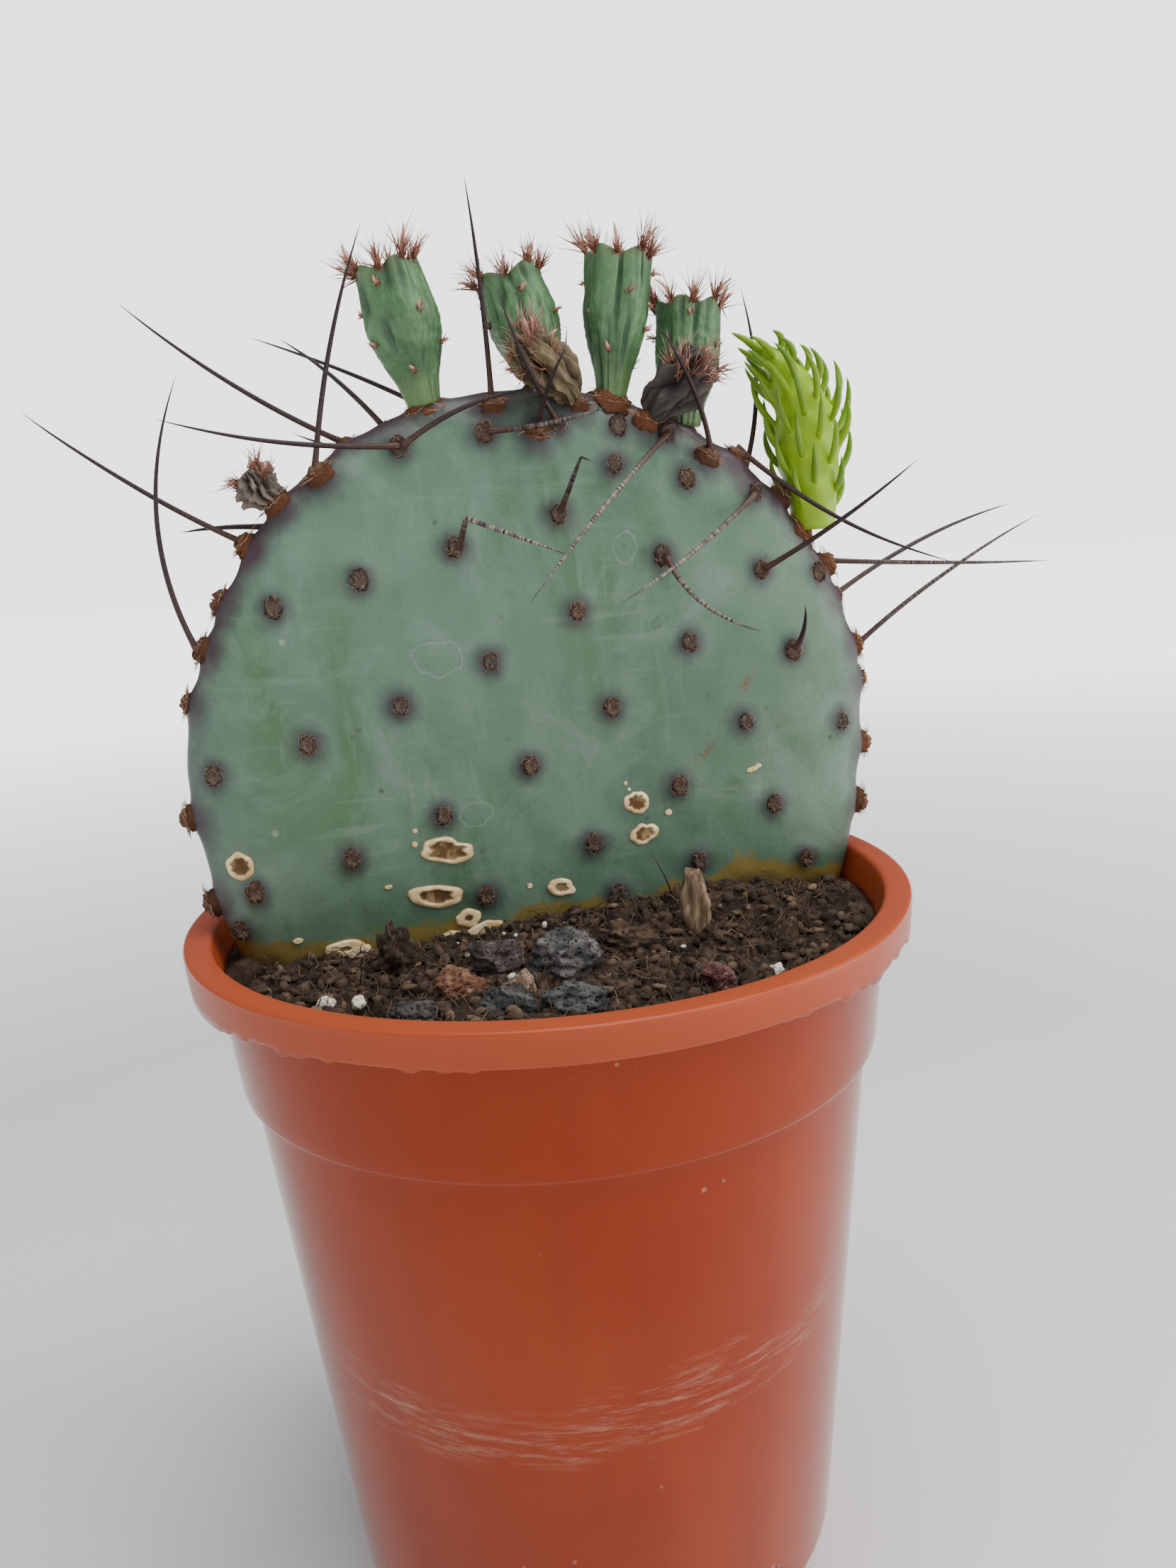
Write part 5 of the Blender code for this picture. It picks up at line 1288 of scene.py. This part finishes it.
WITHERED_LOOKS = {
    # length, radius, dark colour (also painted shade in the folds), pale colour (of the ridges), number
    # of folds
    "withered_fruit_left": (0.0160, 0.0034, (0.018, 0.010, 0.006), (0.190, 0.142, 0.078), 7),
    "withered_fruit_right": (0.0140, 0.0036, (0.012, 0.010, 0.010), (0.085, 0.072, 0.062), 7),
    "withered_bud": (0.0060, 0.0030, (0.030, 0.019, 0.014), (0.220, 0.175, 0.140), 5),
}
for seed, (node, (length, radius, deep, pale, folds)) in enumerate(WITHERED_LOOKS.items(), 111):
    husk, tree, shader, place = finish(node + "_husk", specular=0.3, rough=0.8)
    # the folds take the dark colour and the ridges the pale one: painted shade in the folds over the
    # husk's own colour
    fold_shade = ink(tree, "fold")
    dry = blend(tree, fold_shade, deep, pale)
    worn = patchy(tree, place, 420.0, 0.46, 0.66)
    dry = blend(tree, times(tree, worn, 0.45), dry, 0.5 * np.array(pale))
    give(tree, shader, Base_Color=dry, Normal=toothed(tree, place, 1100.0, 0.0007, 0.9))
    base, axis = stood(node)
    pad_gap = (pad_grid - base).reshape(-1, 3)
    to_pad = pad_gap[np.linalg.norm(pad_gap, axis=1).argmin()]
    right, front = aside(axis)
    rows, cols = 60, 110
    t, turn = np.linspace(0, 1, rows)[:, None], np.linspace(0, 2 * np.pi, cols, endpoint=False)[None]
    t, turn = np.broadcast_arrays(t, turn)
    swell = 0.40 + 0.72 * np.sin(np.pi * (0.10 + 0.74 * t))
    swell = swell * np.clip((1 - t) / 0.06, 0, 1) ** 0.5 * np.clip(t / 0.04, 0, 1) ** 0.5
    local = np.stack([np.cos(turn) * 3, np.sin(turn) * 3, t * 4], -1)
    pleat = 1.6 * np.abs(np.cos(folds / 2 * turn + 1.5 * t + 1.6 * ripple(local, 3.6, seed))) - 1
    crumple = ripple(local, 1.5, seed + 1)
    reach = radius * swell * (1 + 0.38 * pleat + 0.16 * crumple + 0.10 * ripple(local, 0.7, seed + 4))
    height = length * (t + 0.03 * ripple(local, 2.2, seed + 2) * np.sin(np.pi * t))
    sag = 0.10 * length * np.sin(np.pi * t) * -1
    around = np.cos(turn)[..., None] * right + 0.75 * np.sin(turn)[..., None] * front
    shape = base + reach[..., None] * around
    shape = shape + height[..., None] * axis + sag[..., None] * (0, 0, 0.35)
    # a shrivelled stalk joins it to the pad
    shape = shape + 1.1 * to_pad * (np.clip((0.16 - t) / 0.16, 0, 1) ** 0.8)[..., None]
    # low in the troughs of the pleats and high on the ridges: the share of painted shade in the folds
    fold_shade_share = np.clip(0.5 + 0.5 * pleat + 0.25 * crumple, 0, 1)
    dried = skin(node + "_body", shape[None], husk, {"fold": fold_shade_share[None]})
    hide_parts(node)
    random = np.random.default_rng(seed)
    crest = 30 if length > 0.01 else 12
    spot_turn = random.uniform(0, 2 * np.pi, crest)
    spot_t = random.uniform(0.45, 1.0, crest)
    outward = np.cos(spot_turn)[:, None] * right + 0.75 * np.sin(spot_turn)[:, None] * front
    spots = base + outward * radius * 0.85 + (spot_t * length)[:, None] * axis
    ways = outward + axis * random.uniform(0.2, 1.4, (crest, 1)) + (0, 0, 0.4)
    ways /= np.linalg.norm(ways, axis=1)[:, None]
    tuft_at.append(spots)
    tuft_way.append(ways)
    tuft_long.append(random.uniform(0.0030, 0.0072, crest) * (1.0 if length > 0.01 else 0.8))
    tuft_many.append(np.full(crest, 8))
    scale_at.append(spots[::3])
    scale_way.append(ways[::3])
    scale_long.append(random.uniform(0.0022, 0.0040, len(spots[::3])))


# ---- Bristles and scales of the fruits --------------------------------------------------------
# The tufts on the fruits, green and withered: stiff red-brown bristles that fan out, and thin
# pinkish scales, curled over at the tip, left from the flower.

tuft_at, tuft_way = np.vstack(tuft_at), np.vstack(tuft_way)
tuft_long, tuft_many = np.concatenate(tuft_long), np.concatenate(tuft_many)
owner = np.repeat(np.arange(len(tuft_at)), tuft_many)
random = np.random.default_rng(131)
t = np.linspace(0, 1, 4)[None, :, None]
stray = random.normal(size=(len(owner), 3))
ways = tuft_way[owner] + 0.36 * stray
ways /= np.linalg.norm(ways, axis=1)[:, None]
length = (tuft_long[owner] * random.uniform(0.45, 1.0, len(owner)))[:, None, None]
bend = random.normal(size=(len(owner), 1, 3)) * 0.12
roots = tuft_at[owner][:, None] + 0.0003 * random.normal(size=(len(owner), 1, 3))
paths = roots + ways[:, None] * length * t + bend * length * t * t
radii = 0.00015 * (1.04 - t[..., 0]) * random.uniform(0.7, 1.2, (len(owner), 1))
bristle, tree, shader, place = finish("red_brown_bristle", specular=0.4, rough=0.6)
strand = ink(tree, "tone")
rust = blend(tree, strand, (0.120, 0.036, 0.020), (0.380, 0.160, 0.100))
tipped = blend(tree, between(tree, ink(tree, "along"), 0.4, 1.0), rust, (0.500, 0.290, 0.220))
give(tree, shader, Base_Color=tipped, Normal=toothed(tree, place, 2500.0, 0.0002))
tuft_tone = random.uniform(0, 1, (len(owner), 1, 1))
along = np.array([0, 0, 0.33, 0.66, 1, 1])[None, :, None]
tufts = skin("fruit_bristles", tubes(paths, radii, 3), bristle, {"tone": tuft_tone, "along": along})

scale_at, scale_way, scale_long = np.vstack(scale_at), np.vstack(scale_way), np.concatenate(scale_long)
count = len(scale_at)
t = np.linspace(0, 1, 9)[None, :, None]
curl = np.cross(scale_way, random.normal(size=(count, 3)))
curl /= np.linalg.norm(curl, axis=1)[:, None]
length = scale_long[:, None, None]
paths = scale_at[:, None] + scale_way[:, None] * length * (t - 0.25 * t * t)
paths = paths + curl[:, None] * length * 0.40 * t * t * random.uniform(0.3, 1.2, (count, 1, 1))
radii = 0.00036 * np.sin(np.pi * (0.25 + 0.75 * t[..., 0])) ** 0.8 * np.ones((count, 1)) + 0.00003
scale_grid = tubes(paths, radii, 8)
middle = scale_grid.mean(2, keepdims=True)
curl_way = curl[:, None, None]
along_curl = ((scale_grid - middle) * curl_way).sum(-1, keepdims=True)
scale_grid = scale_grid - 0.55 * curl_way * along_curl
pink, tree, shader, place = finish("pink_scale", specular=0.4, rough=0.5)
along = ink(tree, "along")
blush = blend(tree, between(tree, along, 0.0, 0.45), (0.330, 0.130, 0.075), (0.560, 0.290, 0.240))
blush = blend(tree, between(tree, along, 0.75, 1.0), blush, (0.330, 0.120, 0.110))
give(tree, shader, Base_Color=blush, Normal=toothed(tree, place, 1500.0, 0.0002))
along = np.r_[0, np.linspace(0, 1, 9), 1][None, :, None]
scales = skin("fruit_scales", scale_grid, pink, {"along": along})


# ---- New shoot --------------------------------------------------------------------------------
# A young stem on the right shoulder, bright yellow-green and knobbly, set all round with soft
# curved leaves. Its tip hooks to the left, and a small red-brown dot marks each leaf's axil.

SHOOT_LENGTH = 0.034
SHOOT_RADIUS = 0.0054
SHOOT_LEAVES = 52
LEAF_LENGTH = 0.0112
LEAF_RADIUS = 0.00068
low, high = (np.array(corner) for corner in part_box("new_shoot"))
co = np.array([v.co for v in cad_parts["new_shoot"].data.vertices])
shoot_foot = co[co[:, 2] < low[2] + 0.0006].mean(0)
SHOOT_LEAN = np.radians(3)
SHOOT_AXIS = -np.sin(SHOOT_LEAN) * PAD_ACROSS + np.array((0, 0, np.cos(SHOOT_LEAN)))
shoot_right, shoot_front = aside(SHOOT_AXIS)


def shoot_middle(t):
    """The stem's midline: straight, then hooked to the left by the square of what is over half."""
    hook = -0.0075 * np.maximum(0, (t - 0.50) / 0.50) ** 2
    down = 0.0022 * np.clip((0.08 - t) / 0.08, 0, 1)
    rise = t * SHOOT_LENGTH - down
    return shoot_foot + rise[..., None] * SHOOT_AXIS + hook[..., None] * shoot_right


def shoot_reach(t):
    swell = 0.62 + 0.46 * np.sin(np.pi * np.clip(0.12 + 0.86 * t, 0, 1)) ** 1.2
    return SHOOT_RADIUS * swell * np.sqrt(np.maximum(1 - t**6, 0))


number = np.arange(SHOOT_LEAVES)
leaf_t = 0.07 + 0.90 * (number / (SHOOT_LEAVES - 1)) ** 0.9
leaf_turn = np.radians(137.5) * number
rows, cols = 110, 90
t = np.linspace(0, 1, rows)[:, None]
turn = np.linspace(0, 2 * np.pi, cols, endpoint=False)[None]
gap_t = (t[..., None] - leaf_t) * SHOOT_LENGTH
gap_turn = np.angle(np.exp(1j * (turn[..., None] - leaf_turn))) * SHOOT_RADIUS
near = np.exp(-(gap_t**2 + gap_turn**2) / 0.0012**2)
knobs = near.max(-1)
reach = shoot_reach(t) * (1 + 0.10 * knobs)
outward = np.cos(turn)[..., None] * shoot_right + np.sin(turn)[..., None] * shoot_front
stem_grid = shoot_middle(t * np.ones_like(turn)) + reach[..., None] * outward
fresh, tree, shader, place = finish("fresh_green", subsurface=0.05, specular=0.32, rough=0.38)
shade = ink(tree, "tone")
lime = blend(tree, shade, (0.070, 0.145, 0.010), (0.300, 0.480, 0.006))
mottle = between(tree, noise(tree, place, 350.0, 4.0), 0.4, 0.7, 0, 0.3)
lime = blend(tree, mottle, lime, (0.200, 0.380, 0.020))
dot = between(tree, ink(tree, "dot"), 0.35, 0.8)
lime = blend(tree, times(tree, dot, 0.8), lime, (0.240, 0.075, 0.022))
give(tree, shader, Base_Color=lime, Normal=toothed(tree, place, 900.0, 0.0002, 0.6))
dots = np.exp(-((gap_t - 0.0011) ** 2 + gap_turn**2) / 0.00055**2).max(-1)
stem_values = {"tone": (0.75 + 0.25 * t + 0 * knobs)[None], "dot": dots[None]}
stem = skin("shoot_stem", stem_grid[None], fresh, stem_values)
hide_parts("new_shoot")

random = np.random.default_rng(141)
s = np.linspace(0, 1, 11)[None, :, None]
outward = np.cos(leaf_turn)[:, None] * shoot_right + np.sin(leaf_turn)[:, None] * shoot_front
roots = shoot_middle(leaf_t) + outward * (shoot_reach(leaf_t) * 0.96)[:, None]
leaf_long = LEAF_LENGTH * (0.62 + 0.38 * np.sin(np.pi * np.clip(leaf_t * 1.1, 0, 1)))
leaf_long = leaf_long * random.uniform(0.85, 1.1, SHOOT_LEAVES)
hooked = np.clip((leaf_t - 0.45) / 0.55, 0, 1)[:, None]
start_way = outward * 0.85 + SHOOT_AXIS * 0.85 - shoot_right * hooked * 0.35
end_way = outward * -0.12 + SHOOT_AXIS * (1.0 - 0.55 * hooked) - shoot_right * hooked * 1.15
start_way /= np.linalg.norm(start_way, axis=1)[:, None]
end_way /= np.linalg.norm(end_way, axis=1)[:, None]
length = leaf_long[:, None, None]
bent = start_way[:, None] * (s - 0.5 * s * s) + end_way[:, None] * 0.5 * s * s
paths = roots[:, None] + length * bent
thick = LEAF_RADIUS * np.sin(np.pi * (0.22 + 0.78 * s[..., 0])) ** 0.75
thick = thick * np.ones((SHOOT_LEAVES, 1)) + 0.00002
leaf_tone = random.uniform(0.0, 0.45, SHOOT_LEAVES)[:, None, None] * (0.6 + 0.4 * leaf_t[:, None, None])
along = np.r_[0, np.linspace(0, 1, 11), 1][None, :, None]
leaf_values = {
    "tone": np.clip(leaf_tone + 0.55 * (1 - along) ** 2, 0, 1),
    "dot": 0.9 * np.clip((along - 0.93) / 0.07, 0, 1),
}
leaves = skin("shoot_leaves", tubes(paths, thick, 8), fresh, leaf_values)
